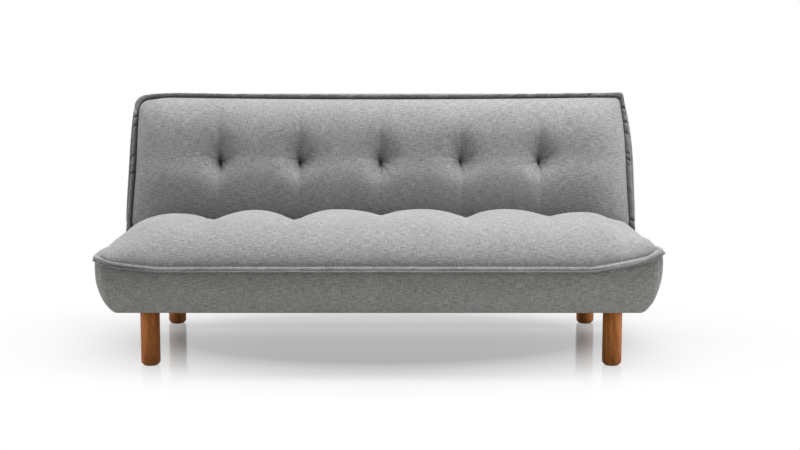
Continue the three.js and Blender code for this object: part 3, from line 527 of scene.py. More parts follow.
def smoothStep(share):
    t = min(max(share, 0.0), 1.0)
    return t * t * (3 - 2 * t)


def rampFrom(value, start, span):
    # 0 up to the start, and smoothly up to 1 over the span
    return smoothStep((value - start) / span)


def crownRise(distance, reach):
    share = min(max(distance / reach, 0.0), 1.0)
    return math.sqrt(share * (2 - share))


def lengthsRound(loop):
    # how far round a closed loop each of its points lies, and how long the whole is
    around = [0.0]
    for before, after in zip(loop, loop[1:]):
        around.append(around[-1] + math.dist(after, before))
    return around, around[-1] + math.dist(loop[0], loop[-1])


def roundedPlan(a, b, pad, radius):
    # moves a point of the flat plan so that the corners are round and the edges bow in
    side = pad["halfWidth"] - abs(a)
    nearLow = b - pad["low"] < pad["high"] - b
    end = b - pad["low"] if nearLow else pad["high"] - b
    if side < radius and end < radius:
        p, q = 1 - side / radius, 1 - end / radius
        side = radius * (1 - p * math.sqrt(1 - q * q / 2))
        end = radius * (1 - q * math.sqrt(1 - p * p / 2))
    across = a / pad["halfWidth"]
    along = 2 * (b - pad["low"]) / (pad["high"] - pad["low"]) - 1
    side += pad["drawIn"] * (1 - along * along) * abs(across) ** 3
    end += pad["drawIn"] * (1 - across * across) * abs(along) ** 3
    newB = pad["low"] + end if nearLow else pad["high"] - end
    return math.copysign(pad["halfWidth"] - side, a), newB


def cornerCurl(a, b, pad):
    # how far the flange stands up: at the two front corners, and along the sides behind them
    if not pad["frontCurl"]:
        return 0.0
    side = 0 if a < 0 else 1
    reach = pad["curlReach"][side]
    ramp = min(max((abs(a) - pad["halfWidth"]) / reach + 1, 0.0), 1.0)
    wide = pad["curlEase"] * smoothStep(ramp) + (1 - pad["curlEase"]) * ramp
    narrow = smoothStep((abs(a) - pad["halfWidth"]) / pad["sideCurlReach"] + 1)
    lift = pad["frontCurl"][side] * wide * smoothStep(1 - b / reach)
    back = math.exp(-(((b - pad["sideCurlAt"]) / pad["sideCurlSpan"][side]) ** 2))
    return lift + pad["sideCurl"][side] * narrow * back


def spreadSide(a, b, pad):
    # the two sides aren't alike: each stands further out or in, and draws in towards the top
    side = 0 if a < 0 else 1
    up = max((b - pad["topDrawFrom"]) / (pad["high"] - pad["topDrawFrom"]), 0.0)
    drawn = pad["topDraw"][side] * up ** 2
    drawn += pad["leanIn"][side] * rampFrom(b, *pad["leanInOver"])
    share = min(abs(a) / pad["halfWidth"], 1.0) ** 4
    return a + math.copysign(1, a) * (pad["sideSpread"][side] - drawn) * share


def topDroop(a, b, pad):
    # the upper left corner hangs a little
    return pad["topDroop"] * rampFrom(-a, *pad["droopAcross"]) * rampFrom(b, *pad["droopUp"])


def cornerNumber(a, b, pad):
    # 0 and 1 are the left and right corners at the low edge, 2 and 3 those at the high edge
    return (0 if b < (pad["low"] + pad["high"]) / 2 else 2) + (0 if a < 0 else 1)


def growRing(bm, edges, key, places):
    # extrudes a closed ring of edges and puts each new corner where its number says
    grown = bmesh.ops.extrude_edge_only(bm, edges=edges)["geom"]
    corners = {v for v in grown if isinstance(v, bmesh.types.BMVert)}
    for v in corners:
        v.co = places[v[key]]
    faces = [f for f in grown if isinstance(f, bmesh.types.BMFace)]
    edges = [e for e in grown if isinstance(e, bmesh.types.BMEdge)]
    ring = [e for e in edges if e.verts[0] in corners and e.verts[1] in corners]
    return ring, corners, faces


def setUv(bm, faces, uKey, vKey, wrap=0.0):
    uvLayer = bm.loops.layers.uv.get("clothUv") or bm.loops.layers.uv.new("clothUv")
    for face in faces:
        values = [(loop.vert[uKey], loop.vert[vKey]) for loop in face.loops]
        highest = max(u for u, v in values)
        for loop, (u, v) in zip(face.loops, values):
            if wrap and highest - u > wrap / 2:
                u += wrap
            loop[uvLayer].uv = (u, v)


# Cushions

def tuftWrinkle(across, along, seed, pad):
    # the folds that run out from a tuft, strongest a little way off and gone soon after
    distance = math.hypot(across, along)
    if distance > pad["wrinkleEnd"] or distance < 1e-6:
        return 0.0
    fade = math.exp(-distance / pad["wrinkleFade"]) * smoothStep(distance / pad["wrinkleStart"])
    folds = pad["wrinkleFolds"]
    return noiseAt(across / distance * folds, along / distance * folds, seed) * fade


def tuftDip(a, b, pad):
    # the buttonless tufts: a wide bowl, a narrow pinch, and soft channels that fade
    dip = 0.0
    along = b - pad["tuftAt"]
    behind = abs(along - pad["creaseShift"]) / pad["creaseLength"]
    for k, column in enumerate(tuftColumns):
        across = a - column - pad["tuftShift"][k]
        side = 0 if across < 0 else 1
        bowl = math.exp(-((across / pad["bowlWidth"]) ** 2) - (along / pad["bowlLength"]) ** 2)
        pinch = math.exp(-math.hypot(across / pad["pinchWidth"], along / pad["pinchLength"]))
        reach = pad["channelAhead"] if along < 0 else pad["channelBehind"]
        channel = max(1 - abs(across) / pad["channelWidth"], 0) ** 2
        channel *= math.exp(-((along / reach) ** 2))
        dip += pad["bowlDepth"] * bowl + pad["pinchDepth"] * pinch
        dip += pad["wrinkle"] * tuftWrinkle(across, along, k + pad["seed"], pad)
        dip += pad["channelDepth"][k] * channel
        crease = math.exp(-abs(across) / pad["creaseReach"][side])
        dip += pad["creaseDepth"] * crease * math.exp(-behind)
    valley = math.exp(-((along / pad["valleyWidth"]) ** 2))
    return dip + pad["valleyDepth"] * valley


def tuftShade(a, b, pad):
    # painted shade: the cloth is painted darkest deep in the pinches
    most = 0.0
    along = (b - pad["tuftAt"]) / pad["pinchLength"]
    for column, shift in zip(tuftColumns, pad["tuftShift"]):
        away = math.hypot((a - column - shift) / pad["pinchWidth"], along)
        most = max(most, pad["tuftShade"] * math.exp(-away * away))
    return most


def threadLengths(places, heights):
    # how far along its thread each grid line lies, so that the weave runs straight
    lengths = [0.0]
    for k in range(1, len(places)):
        step = math.hypot(places[k] - places[k - 1], heights[k] - heights[k - 1])
        lengths.append(lengths[-1] + step)
    return lengths


def cushionShape(a, b, pad):
    # the crown without its tufts
    root = pad["flangeWidth"]
    rise = crownRise(pad["halfWidth"] - root - abs(a), pad["sideReach"])
    rise *= crownRise(pad["high"] - root - b, pad["highReach"])
    lowRise = crownRise(b - pad["low"] - root, pad["lowReach"])
    rise = rise ** pad["edgeSoftness"] * lowRise ** pad["lowSoftness"]
    drop = pad["sideDrop"] * rampFrom(abs(a), *pad["sideDropOver"])
    return (pad["crown"] - drop + pad["crownLean"] * a) * rise


def cushionRise(a, b, pad):
    shape = cushionShape(a, b, pad)
    for place, width, rise in pad["puffs"]:
        shape += rise * math.exp(-(((a - place) / width) ** 2)) * min(shape / pad["puffFrom"], 1)
    (wideA, wideB), (fineA, fineB) = pad["lumpTurns"], pad["fineTurns"]
    lump = noiseAt(a * wideA + pad["seed"], b * wideB, 0.4) * pad["lumps"]
    fine = noiseAt(a * fineA + pad["seed"], b * fineB, 2.7) * pad["lumps"] * pad["fineShare"]
    return max(shape * (1 + (lump + fine - tuftDip(a, b, pad)) / pad["crown"]), 0.0)


def perimeterOf(lines, rows):
    # numbers the grid's border, once round
    width, deep = len(lines) - 1, len(rows) - 1
    walk = [(i, 0) for i in range(width)] + [(width, j) for j in range(deep)]
    walk += [(i, deep) for i in range(width, 0, -1)] + [(0, j) for j in range(deep, 0, -1)]
    return walk


def cushionShade(a, b, low, high, inner, pad):
    # painted shade: darker along the seam, in the pinches, and on the turned parts that see less
    # light
    inside = min(inner - abs(a), b - low, high - b)
    shade = pad["seamShade"] * math.exp(-inside / pad["seamFade"]) + tuftShade(a, b, pad)
    shade += pad["highShade"] * math.exp((b - high) / pad["highFade"])
    under = (pad["tuftAt"] + pad["lowShadeFrom"] - b) / (pad["tuftAt"] - low)
    return shade + pad["lowShade"] * smoothStep(under) ** pad["lowShadeEase"]


def makeCushion(pad, turn, name, material, body, replaced):
    root = pad["flangeWidth"]
    inner = pad["halfWidth"] - root
    low, high = pad["low"] + root, pad["high"] - root
    lines = spreadLines(-inner, inner, pad["columns"], tuftColumns, pull=4.0, width=0.02)
    rows = spreadLines(low, high, pad["rows"], (pad["tuftAt"],), pull=3.0, width=0.03)
    bm = bmesh.new()
    bmesh.ops.create_grid(bm, x_segments=pad["columns"], y_segments=pad["rows"], size=1)
    key = bm.verts.layers.int.new("rim")
    keys = [bm.verts.layers.float.new(label) for label in ("gridU", "gridV", "rimU", "rimV")]
    # painted shade, kept on each point for the cloth's colour
    shade = bm.verts.layers.float.new("seamShade")
    walk = perimeterOf(lines, rows)
    number = {place: n for n, place in enumerate(walk)}
    innerPad = {**pad, "halfWidth": inner, "low": low, "high": high}
    found = {}
    for v in bm.verts:
        i = round((v.co.x + 1) / 2 * pad["columns"])
        j = round((v.co.y + 1) / 2 * pad["rows"])
        found[i, j] = v
        v[key] = number.get((i, j), -1)
        radius = pad["rootRadii"][cornerNumber(lines[i], rows[j], pad)]
        a, b = roundedPlan(lines[i], rows[j], innerPad, radius)
        level = pad["rootHeight"] + cushionRise(lines[i], rows[j], pad) + cornerCurl(a, b, pad)
        lower = topDroop(a, b, pad) + pad["rootDrop"] * rampFrom(b, *pad["droopUp"])
        v.co = (spreadSide(a, b, pad), b - lower, level)
        v[shade] = cushionShade(lines[i], rows[j], low, high, inner, pad)
    middle = (low + high) / 2
    alongU = threadLengths(lines, [cushionShape(a, middle, pad) for a in lines])
    alongV = threadLengths(rows, [cushionShape(0, b, pad) for b in rows])
    for (i, j), v in found.items():
        v[keys[0]], v[keys[1]] = alongU[i], alongV[j]
    setUv(bm, bm.faces, keys[0], keys[1])
    # the fin: two layers of doubled cloth with a groove between, and then the flat underside
    rim = [(lines[i], rows[j]) for i, j in walk]
    around, length = lengthsRound(rim)
    for place, n in number.items():
        found[place][keys[2]], found[place][keys[3]] = around[n], 0.0
    ring = [e for e in bm.edges if e.is_boundary]
    finFaces = []
    travelled = 0.0
    before = (root, pad["rootHeight"])
    for inset, height in pad["finProfile"]:
        travelled += math.dist((inset, height), before)
        before = (inset, height)
        places = [finPoint(*at, inset, height, around[n], pad) for n, at in enumerate(rim)]
        ring, corners, faces = growRing(bm, ring, key, places)
        for v in corners:
            at = rim[v[key]]
            v[keys[2]], v[keys[3]] = around[v[key]], travelled
            # painted shade on the fin: darker in its pleats, along its right side, and towards its
            # seam
            paintedFinShade = pad["pleatShade"] * pleatAt(*at, inset, pad) if inset < root else 0.0
            if at[0] > inner - pad["edgeNear"]:
                paintedFinShade = max(paintedFinShade, pad["rightFinShade"])
            paintedShadeMask = pad["seamShade"] * math.exp(-max(root - inset, 0) / pad["finFade"])
            v[shade] = max(paintedShadeMask, paintedFinShade)
        finFaces += faces
    setUv(bm, finFaces, keys[2], keys[3], wrap=length)
    bmesh.ops.holes_fill(bm, edges=ring, sides=0)
    bm.transform(turn)
    bmesh.ops.recalc_face_normals(bm, faces=bm.faces)
    piece = finishPiece(bm, name, material, body, replaced)
    return piece


def pleatAt(a, b, inset, pad):
    # 1 in the middle of a fold sewn slanting across the fin, 0 away from it
    innerSide, innerTop = pad["halfWidth"] - pad["flangeWidth"], pad["high"] - pad["flangeWidth"]
    shift = (pad["flangeWidth"] - inset) * pad["pleatSlant"]
    near = pad["edgeNear"]
    on = {"left": a < near - innerSide, "right": a > innerSide - near, "top": b > innerTop - near}
    most = 0.0
    for side in [name for name in on if on[name]]:
        for place in pad["pleats"].get(side, ()):
            away = (a if side == "top" else b) + shift - place
            most = max(most, math.exp(-((away / pad["pleatWidth"]) ** 2)))
    return most


def finPoint(a, b, inset, height, around, pad):
    # a point of the fin, at an inset from the outline, with the puckers of its sewing
    root = pad["flangeWidth"]
    grow = root - inset
    stretchA = a / (pad["halfWidth"] - root)
    middle = (pad["low"] + pad["high"]) / 2
    reachB = (pad["high"] - pad["low"]) / 2
    stretchB = (b - middle) / (reachB - root)
    if inset <= root:
        outA = a + stretchA ** pad["finFollow"] * grow
        outB = b + stretchB ** pad["finFollow"] * grow
    else:
        outA, outB = stretchA * (pad["halfWidth"] - inset), middle + stretchB * (reachB - inset)
    wide = {**pad, "halfWidth": pad["halfWidth"] - inset}
    wide |= {"low": pad["low"] + inset, "high": pad["high"] - inset}
    wide["drawIn"] = pad["drawIn"] if inset < 2 * root else 0
    radius = max(pad["cornerRadii"][cornerNumber(a, b, pad)], pad["insetRadius"] * inset)
    outA, outB = roundedPlan(outA, outB, wide, radius)
    free = smoothStep(1 - inset / root)
    slant = around + (root - inset) * pad["puckerSlant"]
    wave = noiseAt(slant * pad["puckerCount"], pad["seed"], 0.5)
    ripple = noiseAt(around * pad["rippleCount"], pad["seed"], 9.5)
    pleat = pad["pleatDepth"] * pleatAt(a, b, inset, pad) * min(2 * free, 1)
    # the two front corners: a bumpy and drooping one on the right, a thick tip on the left
    frontEnd = 1 - rampFrom(b, *pad["frontEndOver"])
    bumps = noiseAt(around * pad["bumpCount"], pad["seed"], 5.5) * rampFrom(a, *pad["bumpsOver"])
    bumps *= pad["cornerBumps"]
    lift = (wave * pad["pucker"] + ripple * pad["ripple"] + bumps) * free - pleat
    droop = pad["cornerDroop"] * rampFrom(a, *pad["cornerDroopOver"]) * frontEnd * free
    tip = rampFrom(-a, *pad["tipOver"]) * frontEnd * free
    thick = pad["tipThickness"] * tip * smoothStep(-height / pad["tipUnder"])
    level = height + lift + cornerCurl(outA, outB, pad) + pad["finTilt"] * free - droop - thick
    return Vector((spreadSide(outA, outB, pad), outB - topDroop(outA, outB, pad), level))


# inset and height of each ring of the fin, from its root outwards and back underneath
seatFin = (
    (0.0192, -0.003), (0.0182, -0.0012), (0.0158, 0.0004), (0.0095, 0.0014),
    (0.0054, 0.0014), (0.0038, 0.0007), (0.0025, -0.001), (0.0012, -0.0034),
    (0.0002, -0.0056), (0.0004, -0.0068), (0.0022, -0.0074), (0.009, -0.0076),
    (0.019, -0.0075), (0.024, -0.0015), (0.03, 0.0),
)
backFin = (
    (0.0163, 0.004), (0.0152, 0.0062), (0.0132, 0.008), (0.0078, 0.0092),
    (0.0032, 0.0092), (0.001, 0.0079), (0.0, 0.0055), (0.0004, 0.003),
    (0.0019, 0.0012), (0.0048, 0.0002), (0.009, 0.0), (0.014, 0.0), (0.03, 0.0),
)
underside = ((0.07, 0.0), (0.13, 0.0), (0.19, 0.0), (0.24, 0.0))

# In metres, on the flat plan. A pair is for the left and the right side. Where its name ends
# in Over it is where a change starts and how far it takes, and where it ends in Turns it is how
# often the noise turns in a metre, across and along.
seatPad = {
    "halfWidth": 0.9,
    "low": 0.0,
    "high": 0.6,
    "columns": 260,
    "rows": 96,
    "seed": 1.7,
    "fill": 0.75,
    # the crown
    "crown": 0.137,
    "crownLean": 0.0035,
    "lowReach": 0.29,
    "highReach": 0.17,
    "sideReach": 0.17,
    "sideDrop": 0.014,
    "sideDropOver": (0.4, 0.4),
    "edgeSoftness": 0.92,
    "lowSoftness": 1.15,
    "puffs": ((0.785, 0.04, -0.0085), (0.85, 0.03, 0.007)),
    "puffFrom": 0.04,
    "lumps": 0.0022,
    "lumpTurns": (5.2, 6.1),
    "fineShare": 0.35,
    "fineTurns": (19, 15),
    # the tufts
    "tuftAt": 0.452,
    "tuftShift": (-0.006, -0.01, 0.0, 0.004, 0.004),
    "bowlDepth": 0.004,
    "bowlWidth": 0.07,
    "bowlLength": 0.08,
    "pinchDepth": 0.02,
    "pinchWidth": 0.013,
    "pinchLength": 0.018,
    "channelDepth": (0.028, 0.035, 0.0155, 0.024, 0.0175),
    "channelWidth": 0.1415,
    "channelAhead": 0.19,
    "channelBehind": 0.12,
    "valleyDepth": 0.0,
    "valleyWidth": 0.06,
    "creaseDepth": 0.0,
    "creaseReach": (0.05, 0.03),
    "creaseShift": 0.004,
    "creaseLength": 0.012,
    "wrinkle": 0.005,
    "wrinkleFolds": 2.6,
    "wrinkleStart": 0.02,
    "wrinkleFade": 0.045,
    "wrinkleEnd": 0.2,
    # the flange, its seam and its pleats
    "flangeWidth": 0.02,
    "rootHeight": -0.0035,
    "rootRadii": (0.03, 0.055, 0.03, 0.03),
    "rootDrop": 0.0,
    "finProfile": seatFin + underside,
    "finTilt": 0.0,
    "finFollow": 15,
    "cornerRadii": (0.014, 0.006, 0.014, 0.006),
    "insetRadius": 0.6,
    "drawIn": 0.006,
    "edgeNear": 0.002,
    "pucker": 0.0012,
    "puckerCount": 55,
    "puckerSlant": 0.9,
    "ripple": 0.0012,
    "rippleCount": 14,
    "pleats": {},
    "pleatDepth": 0.0075,
    "pleatWidth": 0.005,
    "pleatSlant": 0.6,
    # how its sides and corners hang
    "frontCurl": (0.024, 0.046),
    "curlReach": (0.2, 0.235),
    "curlEase": 0.3,
    "sideCurl": (0.038, 0.037),
    "sideCurlReach": 0.07,
    "sideCurlAt": 0.18,
    "sideCurlSpan": (0.16, 0.18),
    "sideSpread": (0.012, -0.004),
    "topDraw": (0.0, 0.0),
    "topDrawFrom": 0.5,
    "leanIn": (0.0, 0.0),
    "leanInOver": (0.1, 0.2),
    "topDroop": 0.0,
    "droopAcross": (0.76, 0.12),
    "droopUp": (0.4, 0.1),
    "frontEndOver": (0.05, 0.1),
    "cornerBumps": 0.0025,
    "bumpCount": 45,
    "bumpsOver": (0.68, 0.1),
    "cornerDroop": 0.006,
    "cornerDroopOver": (0.66, 0.12),
    "tipThickness": 0.007,
    "tipUnder": 0.006,
    "tipOver": (0.8, 0.1),
    # painted shade: the darker places, and how far they reach
    "seamShade": 0.15,
    "seamFade": 0.004,
    "finFade": 0.005,
    "tuftShade": 0.2,
    "pleatShade": 0.9,
    "rightFinShade": 0.0,
    "lowShade": 0.0,
    "lowShadeFrom": 0.07,
    "lowShadeEase": 0.7,
    "highShade": 0.0,
    "highFade": 0.02,
}

backPad = {
    **seatPad,
    "low": 0.005,
    "high": 0.534,
    "rows": 180,
    "seed": 6.3,
    "fill": 0.8,
    "crown": 0.108,
    "crownLean": 0.0,
    "lowReach": 0.21,
    "sideDrop": 0.0,
    "edgeSoftness": 1.0,
    "lowSoftness": 1.0,
    "puffs": (),
    "lumps": 0.0026,
    "tuftAt": 0.267,
    "tuftShift": (-0.007, -0.006, -0.003, -0.002, -0.006),
    "bowlDepth": 0.036,
    "bowlWidth": 0.05,
    "bowlLength": 0.062,
    "pinchDepth": 0.031,
    "pinchWidth": 0.0037,
    "channelDepth": (0.009, 0.009, 0.009, 0.009, 0.009),
    "channelWidth": 0.05,
    "channelAhead": 0.16,
    "channelBehind": 0.16,
    "valleyDepth": 0.006,
    "valleyWidth": 0.05,
    "creaseDepth": 0.006,
    "wrinkle": 0.007,
    "flangeWidth": 0.017,
    "rootHeight": 0.002,
    "rootRadii": (0.04, 0.04, 0.04, 0.02),
    "rootDrop": 0.0022,
    "finProfile": backFin + underside,
    "finTilt": 0.005,
    "cornerRadii": (0.018, 0.018, 0.045, 0.014),
    "drawIn": 0.009,
    "pucker": 0.005,
    "puckerCount": 30,
    "ripple": 0.0018,
    "pleats": {
        "left": (0.034, 0.242, 0.3055, 0.417, 0.454),
        "top": (0.742, 0.771),
        "right": (0.48, 0.428, 0.387, 0.313, 0.29, 0.068, 0.038),
    },
    "frontCurl": None,
    "sideSpread": (0.006, 0.0015),
    "topDraw": (0.015, 0.0305),
    "topDrawFrom": 0.25,
    "leanIn": (0.0042, 0.0),
    "topDroop": 0.01,
    "cornerBumps": 0.0,
    "cornerDroop": 0.0,
    "tipThickness": 0.0,
    # painted shade: darker seam, pinches, right fin, low part and top edge
    "seamShade": 0.85,
    "tuftShade": 0.12,
    "rightFinShade": 0.34,
    "lowShade": 0.2,
    "highShade": 0.14,
}

seatCushion = makeCushion(seatPad, seatTurn, "seatCushion", greyCloth, "base", ["seat_cushion"])
backCushion = makeCushion(backPad, backTurn, "backCushion", greyCloth, "backrest", ["back_cushion"])
print("cushions made")


# Upholstered borders

# how far in the outer face lies, as shares of its height and of its taper
borderFace = {
    "height": (0, 0.1, 0.24, 0.46, 0.7, 0.88, 1),
    "inset": (0.2, 0.07, 0.05, 0.14, 0.42, 0.74, 1),
}


def faceInset(at):
    # a smooth curve through the shares
    keys, values = borderFace["height"], borderFace["inset"]
    last = len(keys) - 1
    slopes = []
    for i in range(len(keys)):
        low, high = max(i - 1, 0), min(i + 1, last)
        slopes.append((values[high] - values[low]) / (keys[high] - keys[low]))
    i = max(k for k in range(last) if at >= keys[k] or k == 0)
    span = keys[i + 1] - keys[i]
    t = min(max((at - keys[i]) / span, 0), 1)
    curve = (2 * t ** 3 - 3 * t * t + 1) * values[i] + (t ** 3 - 2 * t * t + t) * span * slopes[i]
    curve += (3 * t * t - 2 * t ** 3) * values[i + 1]
    return curve + (t ** 3 - t * t) * span * slopes[i + 1]


def planLoop(border, inset):
    # points round a rounded rectangle, always the same number
    right = border["halfWidth"] - inset
    low, high = border["low"] + inset, border["high"] - inset
    radius = max(border["cornerRadius"] - inset, border["leastRadius"])
    corners = (
        (right - radius, low + radius, -90),
        (right - radius, high - radius, 0),
        (-right + radius, high - radius, 90),
        (-right + radius, low + radius, 180),
    )
    loop = []
    for n, (x, y, start) in enumerate(corners):
        for k in range(border["cornerSteps"]):
            # the steps are closest in the middle of the corner, where its seam is
            side = 2 * k / border["cornerSteps"] - 1
            eased = math.copysign(abs(side) ** border["cornerEase"], side)
            turn = math.radians(start + 45 + 45 * eased)
            loop.append((x + radius * math.cos(turn), y + radius * math.sin(turn)))
        end = math.radians(start + 90)
        nextX, nextY, _ = corners[(n + 1) % 4]
        first = (x + radius * math.cos(end), y + radius * math.sin(end))
        last = (nextX + radius * math.cos(end), nextY + radius * math.sin(end))
        count = border["sideSteps"] if n % 2 == 0 else border["frontSteps"]
        for k in range(count):
            t = k / count
            loop.append([a + t * (b - a) for a, b in zip(first, last)])
    return loop


def seamNumbers(border):
    # the numbers of the points on the four sewn corners, where the loop's points lie closest
    found, at = set(), 0
    for n in range(4):
        found.add(at + border["cornerSteps"] // 2)
        at += border["cornerSteps"] + (border["sideSteps"] if n % 2 == 0 else border["frontSteps"])
    return found


def borderRings(border):
    # share of the way down, and inset, of each ring: lip, outer face, turned-in edge, inner face;
    # and how many of them show
    taper, height, lip = border["taper"], border["height"], border["lip"]
    under = border["finDrop"] / height
    rings = [(under * down, inset) for down, inset in border["rootProfile"]]
    rings += [(under + down / height, inset) for down, inset in border["lipProfile"]]
    steps = border["faceSteps"]
    start = under + border["faceStart"] / height
    shares = [start + (1 - start) * k / steps for k in range(steps)]
    rings += [(share, taper * faceInset(share)) for share in shares]
    rings += [(share, taper + inset) for share, inset in border["edgeProfile"]]
    rings.append((1.0, taper + lip))
    outerCount = len(rings)
    inner = 1 - border["lipThickness"] / height
    rings += [(inner, taper + lip), (inner, taper + border["lipStart"])]
    for share in border["innerShares"]:
        rings.append((share, taper * faceInset(share) + border["cover"]))
    return rings, outerCount


def borderPoint(a, b, share, inset, around, edge, border, outer):
    # edge is the place on the outline that this point hangs under
    curl = cornerCurl(a, b, border) * border["curlKept"] * max(1 - share, 0) ** border["curlEnd"]
    spread = spreadSide(*edge, border) - edge[0] if outer else 0.0
    outward = math.sin(math.pi * min(max(share, 0), 1))
    (softRound, softDown), (foldRound, foldDown) = border["softTurns"], border["foldTurns"]
    soft = noiseAt(around * softRound, share * softDown, border["seed"]) * border["soft"]
    folds = noiseAt(around * foldRound, share * foldDown, border["seed"] + 4)
    folds *= border["soft"] * border["foldShare"]
    push = (soft + folds) * outward
    middle = (border["low"] + border["high"]) / 2
    if abs(a) > border["halfWidth"] - inset - border["cornerRadius"]:
        a += math.copysign(push, a)
    else:
        b += math.copysign(push, b - middle)
    tilt = border["finTilt"] * max(1 - inset / border["tiltInset"], 0)
    tilt *= max(1 - border["tiltFall"] * share, 0)
    b -= topDroop(*edge, border) if outer else 0.0
    level = -share * border["height"] - border["gap"] + curl + tilt
    return Vector((a + spread, b, level))


def makeBorder(border, turn, name, material, body, replaced):
    rings, outerCount = borderRings(border)
    bm = bmesh.new()
    first = planLoop(border, rings[0][1])
    count = len(first)
    bmesh.ops.create_circle(bm, segments=count, radius=1, cap_ends=False)
    key = bm.verts.layers.int.new("rim")
    uKey, vKey = bm.verts.layers.float.new("rimU"), bm.verts.layers.float.new("rimV")
    # painted shade, kept on each point for the cloth's colour
    shade = bm.verts.layers.float.new("seamShade")
    seams = seamNumbers(border)
    bm.verts.ensure_lookup_table()
    outline = planLoop(border, 0)
    around, length = lengthsRound(outline)
    for n, v in enumerate(bm.verts):
        v[key], v[uKey], v[vKey] = n, around[n], 0.0
        v.co = borderPoint(*first[n], *rings[0], around[n], outline[n], border, True)
    ring = start = list(bm.edges)
    travelled = 0.0
    for k, (before, (share, inset)) in enumerate(zip(rings, rings[1:])):
        travelled += math.hypot((share - before[0]) * border["height"], inset - before[1])
        outer = k + 1 < outerCount
        sewn = outer and share > before[0]
        loop = planLoop(border, inset)
        dented = planLoop(border, inset + border["seamDepth"]) if sewn else loop
        places = []
        for n in range(count):
            plan = dented[n] if n in seams else loop[n]
            places.append(borderPoint(*plan, share, inset, around[n], outline[n], border, outer))
        ring, corners, faces = growRing(bm, ring, key, places)
        depth = max(share * border["height"] - border["finDrop"] - border["faceStart"], 0.0)
        faceShade = border["faceShade"] * math.exp(-depth / border["faceFade"])
        # painted shade: darker in the sewn corner seams and on the face just under the flange
        for v in corners:
            v[vKey] = travelled
            v[shade] = border["cornerShade"] if v[key] in seams and sewn else faceShade
    bmesh.ops.bridge_loops(bm, edges=start + ring)
    setUv(bm, bm.faces, uKey, vKey, wrap=length)
    bm.transform(turn)
    bmesh.ops.recalc_face_normals(bm, faces=bm.faces)
    return finishPiece(bm, name, material, body, replaced)


# the border follows the flange that it hangs under
sharedSides = (
    "frontCurl", "curlReach", "curlEase", "sideCurl", "sideCurlReach", "sideCurlAt",
    "sideCurlSpan", "sideSpread", "topDraw", "topDrawFrom", "leanIn", "leanInOver",
    "topDroop", "droopAcross", "droopUp", "finTilt",
)

seatBorder = {
    "halfWidth": 0.9,
    "low": 0.0,
    "high": 0.6,
    "height": 0.1547,
    "gap": 0.0003,
    "taper": 0.057,
    "cover": 0.01,
    "lip": 0.035,
    "lipThickness": 0.0025,
    "lipStart": 0.018,
    # down and inset: shares of the fin's drop at its root, metres along the lip, and shares of
    # the height at the turned-in edge, whose insets count from the taper
    "rootProfile": ((0.0, 0.031), (0.3, 0.025), (1.0, 0.019), (1.0, 0.009)),
    "lipProfile": (
        (0.0002, 0.0032), (0.0008, 0.0006), (0.002, -0.0007),
        (0.0038, -0.0004), (0.005, 0.0012), (0.0058, 0.005),
    ),
    "edgeProfile": ((0.975, -0.001), (0.992, 0.002), (1.0, 0.008), (1.0, 0.02)),
    "innerShares": (0.95, 0.8, 0.6, 0.4, 0.2, 0.05),
    "finDrop": 0.0074,
    "faceStart": 0.009,
    "faceSteps": 22,
    "frontSteps": 220,
    "sideSteps": 70,
    "cornerSteps": 16,
    "cornerRadius": 0.042,
    "cornerEase": 1.6,
    "leastRadius": 0.011,
    "seamDepth": 0.0016,
    # painted shade in the corner seams and under the flange
    "cornerShade": 0.5,
    "faceShade": 0.15,
    "faceFade": 0.03,
    "soft": 0.0022,
    "softTurns": (3.1, 1.4),  # round it and over its height, as the next pair
    "foldShare": 0.35,
    "foldTurns": (16, 2.2),
    "curlKept": 0.95,
    "curlEnd": 1.6,
    "tiltInset": 0.02,
    "tiltFall": 12,
    "seed": 3.1,
    **{name: seatPad[name] for name in sharedSides},
}

backBorder = {
    **seatBorder,
    "low": 0.005,
    "high": 0.53,
    "height": 0.085,
    "taper": 0.052,
    "finDrop": 0.0,
    "faceSteps": 16,
    "cornerRadius": 0.065,
    "faceShade": 0.1,
    "seed": 8.4,
    **{name: backPad[name] for name in sharedSides},
}

seatPanels = ["seat_border_" + side for side in ("front", "rear", "left", "right")]
backPanels = ["back_border_" + side for side in ("bottom", "top", "left", "right")]
seatBox = makeBorder(seatBorder, seatTurn, "seatBorder", shadedBoxCloth, "base", seatPanels)
backShell = makeBorder(backBorder, backTurn, "backBorder", shadedBoxCloth, "backrest", backPanels)
print("borders made")


# Pockets for the hinges: slots in the seat's rear border, and round ones in the backrest

pocketSizes = {
    "halfWidth": 0.027,
    "radius": 0.042,
    "sides": 48,
    "slotTop": 0.3287,
    "slotBottom": 0.15,
    "slotDepth": 0.124,
    "slotBehind": 0.03,
    "sharpAngle": 70,
}
seatRear = seatFront + sofa["seatDepth"]
sideways = Matrix.Rotation(quarterTurn, 4, "Y")
upright = Matrix.Identity(4)
hingePlaces = (-sofa["legX"], sofa["legX"])


def slotCutter(x):
    # a block across a slot's width, in through the rear of the seat
    sizes = pocketSizes
    front, rear = seatRear - sizes["slotDepth"], seatRear + sizes["slotBehind"]
    bottom, top = sizes["slotBottom"], sizes["slotTop"]
    bm = bmesh.new()
    bmesh.ops.create_cube(bm, size=1)
    size = (2 * sizes["halfWidth"], rear - front, top - bottom)
    bmesh.ops.scale(bm, verts=bm.verts, vec=size)
    bmesh.ops.translate(bm, verts=bm.verts, vec=(x, (front + rear) / 2, (bottom + top) / 2))
    return finishPiece(bm, "cutter", shadedBoxCloth, None)


def roundCutter(place, radius, depth, turn):
    bm = bmesh.new()
    bmesh.ops.create_cone(
        bm, segments=pocketSizes["sides"], radius1=radius, radius2=radius, depth=depth,
        cap_ends=True, matrix=Matrix.Translation(place) @ turn,
    )
    return finishPiece(bm, "cutter", shadedBoxCloth, None)


